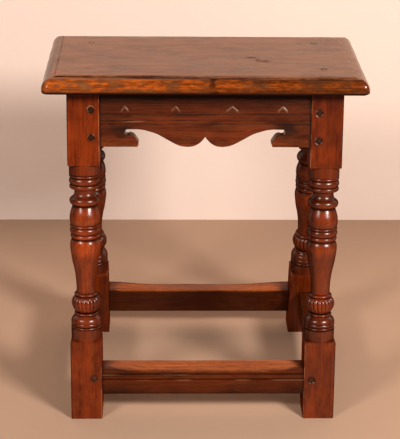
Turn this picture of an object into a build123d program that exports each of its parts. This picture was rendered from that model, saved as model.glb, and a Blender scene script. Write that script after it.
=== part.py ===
from build123d import *
import os
from math import cos, radians, sin, tan

os.makedirs("parts", exist_ok=True)

# A joint stool: a one-board seat on four turned legs, joined by aprons and a box stretcher.
# The origin is on the floor under the middle of the seat. +X is the sitter's right as seen
# from the front, +Y is the back and +Z is up. Lengths are in millimetres.

# ---- driving dimensions -------------------------------------------------------------------

# whole stool
HEIGHT = 540.0
SEAT_WIDTH = 480.0
SEAT_DEPTH = 250.0
SEAT_THICKNESS = 24.0
SIDE_OVERHANG = 35.0  # seat edge to the outer faces of the legs
END_OVERHANG = 32.5  # the same at the front and the back, right under the seat
SPLAY = 8.4  # degrees that each leg leans out to the front or the back

# seat moulding: a small step down to a ledge, then a quarter round to the edge
LEDGE_SETBACK = 20.0
LEDGE_STEP = 2.0
THUMB_RADIUS = 17.0
SEAT_CORNER_RADIUS = 10.0
SEAT_UNDERSIDE_ROUND = 2.5

# legs: square blocks, with lengths measured along the leg
LEG_BLOCK = 48.0
UPPER_BLOCK_LENGTH = 121.0  # from the seat
LOWER_BLOCK_LENGTH = 122.5  # from the floor
BLOCK_ARRIS = 0.8

# turning radii
TURNING_RADIUS = 23.5
QUIRK_DEPTH = 1.4
DISC_RADIUS = 23.0
NECK_RADIUS = 15.8
BARREL_TOP_RADIUS = 18.8
RING_RADIUS = 22.8
BALUSTER_HEAD_RADIUS = 21.2
BALUSTER_NECK_RADIUS = 14.8
CAP_RADIUS = 18.0
BULB_RADIUS = 22.4
BULB_SEAT_RADIUS = 16.4

# turning lengths, from the upper block down
COLLAR_LENGTH = 16.5
REED_LENGTH = 4.5
BEAD_LENGTH = 10.5
DISC_LENGTH = 6.5
NECK_LENGTH = 14.0
TORUS_LENGTH = 12.0
BARREL_LENGTH = 29.5
BARREL_REED_LENGTH = 4.5
BARREL_BEAD_LENGTH = 10.0
RING_LENGTH = 7.0
CAP_LENGTH = 5.0
BULB_LENGTH = 26.0
SMALL_BEAD_LENGTH = 4.0
SHOULDER_LENGTH = 10.5
FOOT_BEAD_LENGTH = 6.5
FOOT_REED_LENGTH = 4.0
FOOT_COLLAR_LENGTH = 18.5
BALUSTER_BULGE_SHARE = 0.14  # where along the baluster its widest point lies

# aprons
APRON_HEIGHT = 88.0
APRON_THICKNESS = 24.0
SCRATCH_WIDTH = 2.4
SCRATCH_DEPTH = 0.9
SCRATCH_LINE_DROP = 21.5
MIDDLE_GROOVE_DROP = 39.0
LOWER_BEAD_DROP = 48.5
LOWER_BEAD_WIDTH = 5.0

# shaped lower edge of the long aprons, per half, from the middle outwards
CUSP_RISE = 15.0
LOBE_X = 26.3
LOBE_FLANK_X = 10.0
LOBE_FLANK_RISE = 4.6
OGEE_X = 57.0
OGEE_RISE = 11.4
OGEE_SHOULDER_X = 86.0
OGEE_SHOULDER_RISE = 24.0
CUT_TOP_X = 101.0
CUT_TOP_RISE = 26.6
HOOK_X = 114.9
HOOK_RADIUS = 4.6
BEAK_BEND_X = 105.5
BEAK_BEND_RISE = 16.1
BEAK_TIP_X = 98.9
BEAK_TIP_RISE = 6.5
BEAK_FOOT_X = 100.5

# stretchers
STRETCHER_HEIGHT = 45.0
STRETCHER_THICKNESS = 30.0
STRETCHER_CLEAR = 40.0  # floor to the lower edge of a stretcher's outer face
STRETCHER_GROOVE_DROP = 12.5
STRETCHER_BEAD_WIDTH = 8.5
WEAR_DEPTH = 8.0
WEAR_FROM_LEG = 13.0
WEAR_RAMP = 22.0

# joinery
RAIL_SETBACK = 2.0  # rail faces lie this far behind the leg faces
TENON_THICKNESS = 10.0
TENON_SETBACK = 12.0  # from the outer face of the leg to the tenon
TENON_LENGTH = 24.0
TENON_TOP_SHOULDER = 18.0
TENON_BOTTOM_SHOULDER = 5.0
MORTISE_CLEARANCE = 0.2
PEG_DIAMETER = 8.0
PEG_LENGTH = 30.0
PEG_STANDOUT = 0.6
PEG_CHAMFER = 0.8
PEG_BORE_CLEARANCE = 0.15
PEG_FROM_SHOULDER = 12.0
LONG_PEG_DROPS = {"upper": 33.5, "lower": 75.0}
SHORT_PEG_DROPS = {"upper": 28.0, "lower": 68.0}
PEG_DRIFT = 2.0  # pegs on the left sit this much higher than the mean, on the right lower
FOOT_PEG_RAISE = 2.5  # above the middle of a stretcher
SEAT_PEG_INSET = 6.0  # from the legs' axes towards the middle
SEAT_PEG_DEPTH = 14.0  # into the leg

# ---- values worked out from the dimensions ------------------------------------------------

SEAT_UNDERSIDE = HEIGHT - SEAT_THICKNESS
FRAME_WIDTH = SEAT_WIDTH - 2 * SIDE_OVERHANG
FRAME_DEPTH = SEAT_DEPTH - 2 * END_OVERHANG
LEG_OUTER_X = FRAME_WIDTH / 2
LEG_INNER_X = LEG_OUTER_X - LEG_BLOCK
LEG_AXIS_X = LEG_OUTER_X - LEG_BLOCK / 2
WEAR_LENGTH = 2 * (LEG_INNER_X - WEAR_FROM_LEG)
RISE = cos(radians(SPLAY))  # height gained per millimetre along a leg
LEAN = sin(radians(SPLAY))  # depth lost per millimetre along a leg
REACH = 2 * (HEIGHT + SEAT_WIDTH + SEAT_DEPTH)  # longer than anything in the stool

# The front face frame: its origin is on the legs' outer face under the seat, X runs to the
# right, Y runs straight into the leg and Z runs up along the leg.
FACE_FRAME = Pos(0, -FRAME_DEPTH / 2, SEAT_UNDERSIDE) * Rot(X=-SPLAY)


def height_to_face(height, depth):
    """Return the Z in the face frame of a point at a real height and a depth into the leg."""
    return (height - SEAT_UNDERSIDE + depth * LEAN) / RISE


def span_box(x_range, y_range, z_range):
    """Return a box between the given limits."""
    size = [high - low for low, high in (x_range, y_range, z_range)]
    middle = [(high + low) / 2 for low, high in (x_range, y_range, z_range)]
    return Pos(*middle) * Box(*size)


def all_edges(lines):
    """Return the separate edges of a list of lines, arcs and polylines."""
    return [edge for line in lines for edge in line.edges()]


def above(height):
    return span_box((-REACH, REACH), (-REACH, REACH), (height, height + REACH))


def below(height):
    return span_box((-REACH, REACH), (-REACH, REACH), (height - REACH, height))


def to_side(shape, side):
    """Mirror a right-hand shape to the left when side is -1."""
    return shape if side > 0 else mirror(shape, about=Plane.YZ)


def to_end(shape, end):
    """Mirror a front shape to the back when end is 1."""
    return shape if end < 0 else mirror(shape, about=Plane.XZ)


# ---- seat ---------------------------------------------------------------------------------

def make_seat():
    ledge_height = HEIGHT - LEDGE_STEP
    x_range = (-SEAT_WIDTH / 2, SEAT_WIDTH / 2)
    y_range = (-SEAT_DEPTH / 2, SEAT_DEPTH / 2)
    slab = span_box(x_range, y_range, (SEAT_UNDERSIDE, ledge_height))
    slab = fillet(slab.edges().filter_by(Axis.Z), SEAT_CORNER_RADIUS)
    slab = fillet(slab.faces().sort_by(Axis.Z)[0].edges(), SEAT_UNDERSIDE_ROUND)
    rounded = span_box(x_range, y_range, (SEAT_UNDERSIDE - LEDGE_STEP, ledge_height))
    rounded = fillet(rounded.faces().sort_by(Axis.Z)[-1].edges(), THUMB_RADIUS)
    field = span_box(
        (x_range[0] + LEDGE_SETBACK, x_range[1] - LEDGE_SETBACK),
        (y_range[0] + LEDGE_SETBACK, y_range[1] - LEDGE_SETBACK),
        (ledge_height - LEDGE_STEP, HEIGHT),
    )
    return (slab & rounded) + field


# ---- legs ---------------------------------------------------------------------------------

class Lathe:
    """Draws a turned outline downwards, one member after another."""

    def __init__(self, height):
        self.height = height
        self.radius = TURNING_RADIUS
        self.edges = []

    def line_to(self, radius, height):
        self.edges.append(Line((self.radius, self.height), (radius, height)))
        self.radius = radius
        self.height = height

    def step(self, radius):
        if abs(radius - self.radius) > 0.01:
            self.line_to(radius, self.height)

    def plain(self, length):
        self.line_to(self.radius, self.height - length)

    def bead(self, length, radius, root):
        """A half round between two quirks that go down to the root radius."""
        self.step(root)
        low = self.height - length
        middle = (radius, self.height - length / 2)
        self.edges.append(ThreePointArc((root, self.height), middle, (root, low)))
        self.height = low

    def curve(self, points):
        """A smooth curve through points given as (radius, distance below the start)."""
        stations = [(self.radius, self.height)]
        stations += [(radius, self.height - drop) for radius, drop in points]
        self.edges.append(Spline(*stations))
        self.radius, self.height = stations[-1]

    def solid(self):
        """Close the outline on the axis and turn it."""
        top = self.edges[0] @ 0
        self.edges.append(Polyline((self.radius, self.height), (0, self.height), (0, top.Y), top))
        return revolve(Plane.XZ * make_face(all_edges(self.edges)), Axis.Z)


def make_turning(top, bottom):
    """Return the turned stretch of a leg, on the Z axis."""
    quirk = TURNING_RADIUS - QUIRK_DEPTH
    lathe = Lathe(top)
    # upper group: collar, reed, bead and disc
    lathe.plain(COLLAR_LENGTH)
    lathe.bead(REED_LENGTH, TURNING_RADIUS, quirk)
    lathe.bead(BEAD_LENGTH, TURNING_RADIUS, quirk)
    lathe.step(DISC_RADIUS)
    lathe.plain(DISC_LENGTH)
    # neck and torus
    lathe.step(NECK_RADIUS + QUIRK_DEPTH)
    lathe.curve(
        [
            (NECK_RADIUS, NECK_LENGTH * 0.4),
            (BARREL_TOP_RADIUS, NECK_LENGTH),
        ]
    )
    lathe.bead(TORUS_LENGTH, TURNING_RADIUS, BARREL_TOP_RADIUS)
    # barrel, then its reed, bead and ring
    lathe.curve(
        [
            (TURNING_RADIUS - QUIRK_DEPTH, BARREL_LENGTH * 0.3),
            (TURNING_RADIUS, BARREL_LENGTH * 0.65),
            (TURNING_RADIUS - QUIRK_DEPTH / 2, BARREL_LENGTH),
        ]
    )
    lathe.bead(BARREL_REED_LENGTH, TURNING_RADIUS, quirk)
    lathe.bead(BARREL_BEAD_LENGTH, TURNING_RADIUS, quirk)
    lathe.bead(RING_LENGTH, RING_RADIUS, BALUSTER_HEAD_RADIUS)
    # the baluster takes up what length is left above the foot members
    foot_members = (
        CAP_LENGTH + BULB_LENGTH + SMALL_BEAD_LENGTH + SHOULDER_LENGTH
        + FOOT_BEAD_LENGTH + FOOT_REED_LENGTH + FOOT_COLLAR_LENGTH
    )
    length = lathe.height - bottom - foot_members
    slim = BALUSTER_NECK_RADIUS
    swell = TURNING_RADIUS - slim
    lathe.curve(
        [
            (TURNING_RADIUS, length * BALUSTER_BULGE_SHARE),
            (slim + swell * 0.72, length * 0.42),
            (slim + swell * 0.23, length * 0.63),
            (slim, length * 0.92),
            (slim + QUIRK_DEPTH / 2, length),
        ]
    )
    # cap, bulb, small bead and shoulder
    lathe.bead(CAP_LENGTH, CAP_RADIUS, BULB_SEAT_RADIUS - QUIRK_DEPTH)
    lathe.bead(BULB_LENGTH, BULB_RADIUS, BULB_SEAT_RADIUS)
    lathe.bead(SMALL_BEAD_LENGTH, CAP_RADIUS + QUIRK_DEPTH / 2, BULB_SEAT_RADIUS)
    lathe.curve(
        [
            (BULB_SEAT_RADIUS + swell * 0.45, SHOULDER_LENGTH * 0.45),
            (TURNING_RADIUS, SHOULDER_LENGTH),
        ]
    )
    # foot members
    lathe.bead(FOOT_BEAD_LENGTH, TURNING_RADIUS, quirk)
    lathe.bead(FOOT_REED_LENGTH, TURNING_RADIUS, quirk)
    lathe.step(TURNING_RADIUS)
    lathe.plain(FOOT_COLLAR_LENGTH)
    return lathe.solid()


def make_leg():
    """Return the front right leg, without its mortises and peg bores."""
    x_range = (LEG_INNER_X, LEG_OUTER_X)
    y_range = (0, LEG_BLOCK)
    axis_depth = LEG_BLOCK / 2
    top = height_to_face(SEAT_UNDERSIDE, axis_depth)
    floor = height_to_face(0, axis_depth)
    spare = LEG_BLOCK * LEAN
    upper_bottom = top - UPPER_BLOCK_LENGTH
    lower_top = floor + LOWER_BLOCK_LENGTH
    upper = span_box(x_range, y_range, (upper_bottom, top + spare))
    lower = span_box(x_range, y_range, (floor - spare, lower_top))
    upper = chamfer(upper.edges().filter_by(Axis.Z), BLOCK_ARRIS)
    lower = chamfer(lower.edges().filter_by(Axis.Z), BLOCK_ARRIS)
    turning = Pos(LEG_AXIS_X, axis_depth) * make_turning(upper_bottom, lower_top)
    leg = FACE_FRAME * (upper + turning + lower)
    return leg - above(SEAT_UNDERSIDE) - below(0)


# ---- tenons -------------------------------------------------------------------------------

def rail_levels(kind):
    """Return the heights of the lower and upper edge of an apron's or a stretcher's face."""
    if kind == "apron":
        return SEAT_UNDERSIDE - APRON_HEIGHT * RISE, SEAT_UNDERSIDE
    return STRETCHER_CLEAR, STRETCHER_CLEAR + STRETCHER_HEIGHT * RISE


def tenon_levels(kind):
    low, high = rail_levels(kind)
    top_shoulder = TENON_TOP_SHOULDER if kind == "apron" else TENON_BOTTOM_SHOULDER
    return low + TENON_BOTTOM_SHOULDER, high - top_shoulder


def long_tenon(kind, slack=0.0):
    """Return the tenon of a front rail in the right leg. With slack it is the mortise."""
    low, high = (height_to_face(level, TENON_SETBACK) for level in tenon_levels(kind))
    return FACE_FRAME * span_box(
        (LEG_INNER_X - RAIL_SETBACK, LEG_INNER_X + TENON_LENGTH + slack),
        (TENON_SETBACK - slack, TENON_SETBACK + TENON_THICKNESS + slack),
        (low - slack, high + slack),
    )


def deeper_than(depth):
    """Return all that lies deeper than this into the front legs' face frame."""
    return FACE_FRAME * span_box((-REACH, REACH), (depth, depth + REACH), (-REACH, REACH))


def short_span(depth):
    """Return the space between the front and the back legs, entering each to this depth."""
    return deeper_than(depth) & to_end(deeper_than(depth), 1)


def short_tenon_bar(kind, slack=0.0):
    """Return a bar from tenon end to tenon end of the right-hand short rail."""
    low, high = tenon_levels(kind)
    outer = LEG_OUTER_X - TENON_SETBACK
    bar = span_box(
        (outer - TENON_THICKNESS - slack, outer + slack),
        (-REACH / 2, REACH / 2),
        (low - slack, high + slack),
    )
    return bar & short_span(LEG_BLOCK - TENON_LENGTH - slack)


# ---- rails --------------------------------------------------------------------------------

def scratch(drops, y_outer, length):
    """Return the half-round scratch lines along a long rail, in the face frame."""
    radius = (SCRATCH_DEPTH**2 + (SCRATCH_WIDTH / 2) ** 2) / (2 * SCRATCH_DEPTH)
    line = Rot(Y=90) * Cylinder(radius, length)
    y_line = y_outer - radius + SCRATCH_DEPTH
    return [Pos(0, y_line, -drop) * line for drop in drops]


def apron_drops():
    return [
        SCRATCH_LINE_DROP,
        MIDDLE_GROOVE_DROP,
        LOWER_BEAD_DROP,
        LOWER_BEAD_DROP + LOWER_BEAD_WIDTH,
    ]


def stretcher_drops():
    return [STRETCHER_GROOVE_DROP, STRETCHER_GROOVE_DROP + STRETCHER_BEAD_WIDTH]


def half_cut_out():
    """Return the cut-out of the right half of a long apron, from its lower edge up."""
    beak_x = HOOK_X - HOOK_RADIUS * sin(radians(45))
    hook_rise = CUT_TOP_RISE - HOOK_RADIUS
    beak_rise = hook_rise - HOOK_RADIUS * sin(radians(45))
    edges = [
        ThreePointArc((0, CUSP_RISE), (LOBE_FLANK_X, LOBE_FLANK_RISE), (LOBE_X, 0)),
        Spline(
            (LOBE_X, 0),
            (OGEE_X, OGEE_RISE),
            (OGEE_SHOULDER_X, OGEE_SHOULDER_RISE),
            (CUT_TOP_X, CUT_TOP_RISE),
            tangents=[(1, 0), (1, 0)],
        ),
        Line((CUT_TOP_X, CUT_TOP_RISE), (HOOK_X, CUT_TOP_RISE)),
        ThreePointArc(
            (HOOK_X, CUT_TOP_RISE),
            (HOOK_X + HOOK_RADIUS, hook_rise),
            (beak_x, beak_rise),
        ),
        ThreePointArc(
            (beak_x, beak_rise),
            (BEAK_BEND_X, BEAK_BEND_RISE),
            (BEAK_TIP_X, BEAK_TIP_RISE),
        ),
        Polyline(
            (BEAK_TIP_X, BEAK_TIP_RISE),
            (BEAK_FOOT_X, 0),
            (BEAK_FOOT_X, -APRON_HEIGHT),
            (0, -APRON_HEIGHT),
            (0, CUSP_RISE),
        ),
    ]
    return make_face(all_edges(edges))


def make_long_apron():
    """Return the front apron with its tenons, without its peg bores."""
    outer = RAIL_SETBACK
    inner = RAIL_SETBACK + APRON_THICKNESS
    spare = inner * LEAN
    board = span_box((-LEG_INNER_X, LEG_INNER_X), (outer, inner), (-APRON_HEIGHT, spare))
    half = Pos(0, 0, -APRON_HEIGHT) * extrude(Plane.XZ * half_cut_out(), 2 * inner, both=True)
    board = board - half - mirror(half, about=Plane.YZ)
    for line in scratch(apron_drops(), outer, FRAME_WIDTH):
        board = board - line
    board = FACE_FRAME * board - above(SEAT_UNDERSIDE)
    tenon = long_tenon("apron")
    return board + tenon + to_side(tenon, -1)


def make_long_stretcher():
    """Return the front stretcher with its tenons and its foot wear, without its peg bores."""
    outer = RAIL_SETBACK
    inner = RAIL_SETBACK + STRETCHER_THICKNESS
    low = height_to_face(STRETCHER_CLEAR, outer)
    high = low + STRETCHER_HEIGHT
    bar = span_box((-LEG_INNER_X, LEG_INNER_X), (outer, inner), (low, high))
    for line in scratch([drop - high for drop in stretcher_drops()], outer, FRAME_WIDTH):
        bar = bar - line
    bar = FACE_FRAME * (bar - make_wear(outer, inner, high))
    tenon = long_tenon("stretcher")
    return bar + tenon + to_side(tenon, -1)


def make_wear(outer, inner, high):
    """Return what feet have worn off the top: a slope down to the outer edge, with end ramps."""
    slope = make_face(
        Polyline(
            (outer - STRETCHER_THICKNESS, high - 2 * WEAR_DEPTH),
            (inner, high),
            (inner, high + WEAR_DEPTH),
            (outer - STRETCHER_THICKNESS, high + WEAR_DEPTH),
            close=True,
        )
    )
    prism = extrude(Plane.YZ * slope, WEAR_LENGTH / 2, both=True)
    deep = WEAR_LENGTH / 2 - WEAR_RAMP
    trapezium = make_face(
        Polyline(
            (-deep, high - WEAR_DEPTH),
            (deep, high - WEAR_DEPTH),
            (WEAR_LENGTH / 2, high),
            (WEAR_LENGTH / 2, high + WEAR_DEPTH),
            (-WEAR_LENGTH / 2, high + WEAR_DEPTH),
            (-WEAR_LENGTH / 2, high),
            close=True,
        )
    )
    return prism & extrude(Plane.XZ * trapezium, REACH, both=True)


def make_short_rail(kind, thickness):
    """Return the right-hand short rail with its tenons, without its peg bores."""
    low, high = rail_levels(kind)
    outer = LEG_OUTER_X - RAIL_SETBACK
    board = span_box((outer - thickness, outer), (-REACH / 2, REACH / 2), (low, high))
    radius = (SCRATCH_DEPTH**2 + (SCRATCH_WIDTH / 2) ** 2) / (2 * SCRATCH_DEPTH)
    drops = apron_drops() if kind == "apron" else stretcher_drops()
    line = Rot(X=90) * Cylinder(radius, REACH)
    for drop in drops:
        board = board - Pos(outer + radius - SCRATCH_DEPTH, 0, high - drop * RISE) * line
    return (board & short_span(LEG_BLOCK)) + short_tenon_bar(kind)


# ---- pegs ---------------------------------------------------------------------------------

def peg_rod(diameter, length, chamfered):
    """Return a rod that runs up from the origin, chamfered at its head end below."""
    rod = Pos(0, 0, length / 2) * Cylinder(diameter / 2, length)
    return chamfer(rod.edges().sort_by(Axis.Z)[0], PEG_CHAMFER) if chamfered else rod


def peg_places():
    """Return the place of each peg of the front right leg: its frame and its length.

    A rod drawn from a place starts at the head and runs into the wood.
    """
    head = -PEG_STANDOUT
    places = {}
    stretcher_low, stretcher_high = rail_levels("stretcher")
    foot_height = (stretcher_low + stretcher_high) / 2 + FOOT_PEG_RAISE
    heights = {name: SEAT_UNDERSIDE - drop for name, drop in LONG_PEG_DROPS.items()}
    heights["foot"] = foot_height
    for name, height in heights.items():
        point = Pos(LEG_INNER_X + PEG_FROM_SHOULDER, head, height_to_face(height, 0))
        places["long_" + name] = (FACE_FRAME * point * Rot(X=-90), PEG_LENGTH)
    heights = {name: SEAT_UNDERSIDE - drop for name, drop in SHORT_PEG_DROPS.items()}
    heights["foot"] = foot_height
    depth = LEG_BLOCK - PEG_FROM_SHOULDER
    for name, height in heights.items():
        point = Pos(LEG_OUTER_X - head, depth, height_to_face(height, depth))
        places["short_" + name] = (FACE_FRAME * point * Rot(Y=-90), PEG_LENGTH)
    seat_y = -FRAME_DEPTH / 2 + LEG_BLOCK / 2 / RISE
    seat_place = Pos(LEG_AXIS_X - SEAT_PEG_INSET, seat_y, HEIGHT) * Rot(X=180)
    places["seat"] = (seat_place, SEAT_THICKNESS + SEAT_PEG_DEPTH)
    return places


def make_pegs(side, end):
    """Return the pegs and the bores of one leg, by name."""
    pegs = {}
    bores = {}
    for name, (place, length) in peg_places().items():
        drift = Pos() if name == "seat" else Pos(0, 0, -side * PEG_DRIFT)
        rod = drift * place * peg_rod(PEG_DIAMETER, length, name != "seat")
        wide = PEG_DIAMETER + 2 * PEG_BORE_CLEARANCE
        bore = drift * place * peg_rod(wide, length + PEG_BORE_CLEARANCE, False)
        pegs[name] = to_end(to_side(rod, side), end)
        bores[name] = to_end(to_side(bore, side), end)
    return pegs, bores


# ---- assembly -----------------------------------------------------------------------------

def main():
    pieces = {"seat_board": make_seat()}
    leg = make_leg()
    for kind in ("apron", "stretcher"):
        leg = leg - long_tenon(kind, MORTISE_CLEARANCE)
        leg = leg - short_tenon_bar(kind, MORTISE_CLEARANCE)
    long_apron = make_long_apron()
    long_stretcher = make_long_stretcher()
    short_apron = make_short_rail("apron", APRON_THICKNESS)
    short_stretcher = make_short_rail("stretcher", STRETCHER_THICKNESS)
    ends = {"front": -1, "back": 1}
    sides = {"left": -1, "right": 1}
    for end_name, end in ends.items():
        pieces[end_name + "_apron"] = to_end(long_apron, end)
        pieces[end_name + "_stretcher"] = to_end(long_stretcher, end)
    for side_name, side in sides.items():
        pieces[side_name + "_apron"] = to_side(short_apron, side)
        pieces[side_name + "_stretcher"] = to_side(short_stretcher, side)
    for end_name, end in ends.items():
        for side_name, side in sides.items():
            corner = end_name + "_" + side_name
            pegs, bores = make_pegs(side, end)
            body = to_end(to_side(leg, side), end)
            for name, bore in bores.items():
                body = body - bore
                if name == "seat":
                    drilled = "seat_board"
                else:
                    rail = "stretcher" if name.endswith("foot") else "apron"
                    drilled = (end_name if name.startswith("long") else side_name) + "_" + rail
                pieces[drilled] = pieces[drilled] - bore
            pieces[corner + "_leg"] = body
            for name, peg in pegs.items():
                pieces[corner + "_peg_" + name] = peg
    for name, piece in pieces.items():
        export_step(piece, "parts/" + name + ".step")


main()
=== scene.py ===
from itertools import product
from math import cos, pi, radians, sin, tan

import bmesh
import bpy
from bpy.props import FloatProperty, FloatVectorProperty, IntProperty, PointerProperty
from mathutils import Matrix, Vector
from mathutils.geometry import delaunay_2d_cdt
import numpy as np


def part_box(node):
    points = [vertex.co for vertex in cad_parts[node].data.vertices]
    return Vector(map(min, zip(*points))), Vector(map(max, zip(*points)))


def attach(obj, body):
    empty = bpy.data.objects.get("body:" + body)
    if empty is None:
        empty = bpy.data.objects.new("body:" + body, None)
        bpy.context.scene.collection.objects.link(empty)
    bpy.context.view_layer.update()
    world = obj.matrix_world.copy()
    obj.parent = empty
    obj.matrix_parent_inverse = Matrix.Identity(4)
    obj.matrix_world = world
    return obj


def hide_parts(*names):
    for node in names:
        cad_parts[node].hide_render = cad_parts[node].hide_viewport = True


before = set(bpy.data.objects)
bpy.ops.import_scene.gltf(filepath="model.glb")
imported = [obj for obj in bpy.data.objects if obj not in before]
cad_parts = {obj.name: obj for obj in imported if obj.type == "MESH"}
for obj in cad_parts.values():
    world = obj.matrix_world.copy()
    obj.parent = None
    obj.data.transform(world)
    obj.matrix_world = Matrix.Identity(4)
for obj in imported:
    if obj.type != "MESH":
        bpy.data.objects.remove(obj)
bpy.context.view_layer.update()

bl_info = {
    "name": "Joint stool",
    "version": (1, 0, 0),
    "blender": (4, 5, 0),
    "location": "View3D > Sidebar > Stool",
    "description": "Dresses a joint stool with turned legs, shaped rails and waxed oak",
    "category": "Object",
}

# The stool stands on the floor with its seat's middle over the origin. +X is to the right as
# seen from the front, +Y is the back and +Z is up. Shapes are worked out in millimetres.
MM = 0.001
SEAT_LOW, SEAT_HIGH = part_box("seat_board")
FRAME_WIDTH = 2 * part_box("front_right_leg")[1].x
CORNERS = list(product(("front", "back"), ("left", "right")))
PEG_NAMES = ("long_upper", "long_lower", "long_foot", "short_upper", "short_lower", "short_foot")
FACE_DEPTH = 2.0  # how far the rails' faces lie behind the legs' faces
MERGED, SLIVER = 0.004, 0.002  # points this close become one, and edges this short go
SHARP = radians(40)  # edges that turn more than this are shaded sharp


# ---- settings -----------------------------------------------------------------------------

def length(name, description, default):
    """A length setting in metres."""
    return FloatProperty(name=name, description=description, default=default, unit="LENGTH")


def colour(name, description, default):
    """A colour setting."""
    return FloatVectorProperty(
        name=name, description=description, default=default, subtype="COLOR", min=0, max=1
    )


class StoolSizes(bpy.types.PropertyGroup):
    seat_height: length("Seat height", "Floor to the top of the seat", SEAT_HIGH.z)
    seat_width: length("Seat width", "Seat from side to side", SEAT_HIGH.x - SEAT_LOW.x)
    seat_depth: length("Seat depth", "Seat from front to back", SEAT_HIGH.y - SEAT_LOW.y)
    seat_thickness: length("Seat thickness", "Seat board", SEAT_HIGH.z - SEAT_LOW.z)
    ledge_setback: length("Ledge setback", "Seat edge to the ledge of its moulding", 0.020)
    ledge_step: length("Ledge step", "Drop from the seat's top to the ledge", 0.002)
    thumb_radius: length("Thumb radius", "Quarter round of the seat's moulding", 0.017)
    frame_width: length("Frame width", "Over the legs from side to side", FRAME_WIDTH)
    frame_depth: length("Frame depth", "Over the legs under the seat", 0.185)
    splay: FloatProperty(
        name="Splay", description="Lean of each leg to the front or the back",
        default=radians(8.4), subtype="ANGLE",
    )
    leg_block: length("Leg block", "Side of a leg's square blocks", 0.048)
    turning_radius: length("Turning radius", "Largest radius of the turning", 0.0235)
    arris: length("Arris", "Rounding that wear has given to the edges", 0.0011)
    null_depth: length("Null depth", "Depth of the cuts between the bulb's nulls", 0.0027)
    null_count: IntProperty(
        name="Nulls", description="Carved lobes round each bulb", default=20, min=3
    )
    apron_height: length("Apron height", "Along the leg", 0.088)
    apron_thickness: length("Apron thickness", "Apron boards", 0.024)
    stretcher_height: length("Stretcher height", "Along the leg", 0.045)
    stretcher_thickness: length("Stretcher thickness", "Stretcher bars", 0.030)
    stretcher_clear: length("Stretcher clearance", "Floor to a stretcher's face", 0.040)
    scratch_width: length("Scratch width", "Width of the scratched lines", 0.0024)
    scratch_depth: length("Scratch depth", "Depth of the scratched lines", 0.0009)
    peg_radius: length("Peg radius", "Radius of a peg", 0.004)


class StoolColours(bpy.types.PropertyGroup):
    seat: colour("Seat", "Waxed top of the seat", (0.198, 0.060, 0.019))
    moulding: colour("Moulding", "Rubbed edge of the seat", (0.30, 0.065, 0.008))
    legs: colour("Legs", "Polished turnings and blocks", (0.178, 0.0228, 0.0028))
    aprons: colour("Aprons", "Dark aprons", (0.105, 0.018, 0.004))
    stretchers: colour("Stretchers", "Faces of the stretchers", (0.105, 0.017, 0.003))
    rubbed: colour("Rubbed oak", "Oak that hands and feet keep bare", (0.36, 0.082, 0.012))
    turnings: colour("Rubbed turnings", "Turnings that cloths keep bright", (0.32, 0.043, 0.003))
    # also the colour of the painted shade that the grime mark carries
    grime: colour("Grime", "Old wax and dust in the quirks", (0.020, 0.006, 0.003))
    pegs: colour("Pegs", "End grain of the pegs", (0.028, 0.009, 0.004))
    floor: colour("Floor", "Plain floor", (0.475, 0.322, 0.232))
    wall: colour("Wall", "Plain wall", (0.92, 0.79, 0.73))


class Lengths:
    """The stool's sizes in millimetres, with those that follow from them."""

    def __init__(self, group):
        for name in StoolSizes.__annotations__:
            value = getattr(group, name)
            setattr(self, name, value if name in ("splay", "null_count") else value / MM)
        self.lean, self.rise, self.slope = sin(self.splay), cos(self.splay), tan(self.splay)
        self.under_seat = self.seat_height - self.seat_thickness
        self.half_seat = np.array([self.seat_width, self.seat_depth]) / 2
        self.half_rail = self.frame_width / 2 - self.leg_block


def settings(context):
    """Return the stool's lengths and colours."""
    return Lengths(context.scene.stool_sizes), context.scene.stool_colours


# ---- numbers ------------------------------------------------------------------------------

def lattice(cells, seed):
    """Return a fixed random number from 0 to 1 for each whole-numbered cell."""
    x, y, z = (cells[..., axis].astype(np.int64) for axis in range(3))
    mixed = (x * 374761393 + y * 668265263 + z * 1440662683 + seed * 974634777) & 0xFFFFFFFF
    mixed = ((mixed ^ (mixed >> 13)) * 1274126177) & 0xFFFFFFFF
    return ((mixed ^ (mixed >> 16)) & 0xFFFF) / 65535


def wander(points, size, seed=0):
    """Return smooth noise from -1 to 1 at each point. Its features are about this size."""
    scaled = points / np.asarray(size, float)
    cell = np.floor(scaled)
    part = scaled - cell
    part = part * part * (3 - 2 * part)
    total = 0
    for corner in product((0, 1), repeat=3):
        weight = np.prod(np.where(corner, part, 1 - part), axis=-1)
        total = total + weight * lattice(cell + corner, seed)
    return 2 * total - 1


def ramp(values, low, high):
    """Return a smooth step from 0 at low to 1 at high."""
    part = np.clip((values - low) / (high - low), 0, 1)
    return part * part * (3 - 2 * part)


def near(values, middle, far, close):
    """Return 1 where the values lie close to the middle, and 0 where they lie far off."""
    return ramp(np.abs(values - middle), far, close)


def patches(points, size, seed, low, high):
    """Return 1 where the noise is high, and 0 where it is low."""
    return ramp(wander(points, size, seed), low, high)


def oval(flat, x, y, wide, deep):
    """Return each point's distance to the middle of an oval, which ends at 1."""
    return np.linalg.norm((flat - (x, y)) / (wide, deep), axis=1)


def smooth_line(points, spacing):
    """Return points at about this spacing on a smooth line through the given points."""
    points = np.asarray(points, float)
    ends = [2 * points[0] - points[1]], [2 * points[-1] - points[-2]]
    padded = np.concatenate([ends[0], points, ends[1]])
    line = []
    for before, start, stop, after in zip(padded, padded[1:], padded[2:], padded[3:]):
        count = max(2, int(np.linalg.norm(stop - start) / spacing))
        t = np.linspace(0, 1, count, endpoint=False)[:, None]
        out, into = (stop - before) / 2, (after - start) / 2
        line.append(
            (2 * t**3 - 3 * t**2 + 1) * start + (t**3 - 2 * t**2 + t) * out
            + (3 * t**2 - 2 * t**3) * stop + (t**3 - t**2) * into
        )
    return np.concatenate(line + [points[-1:]])


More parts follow.
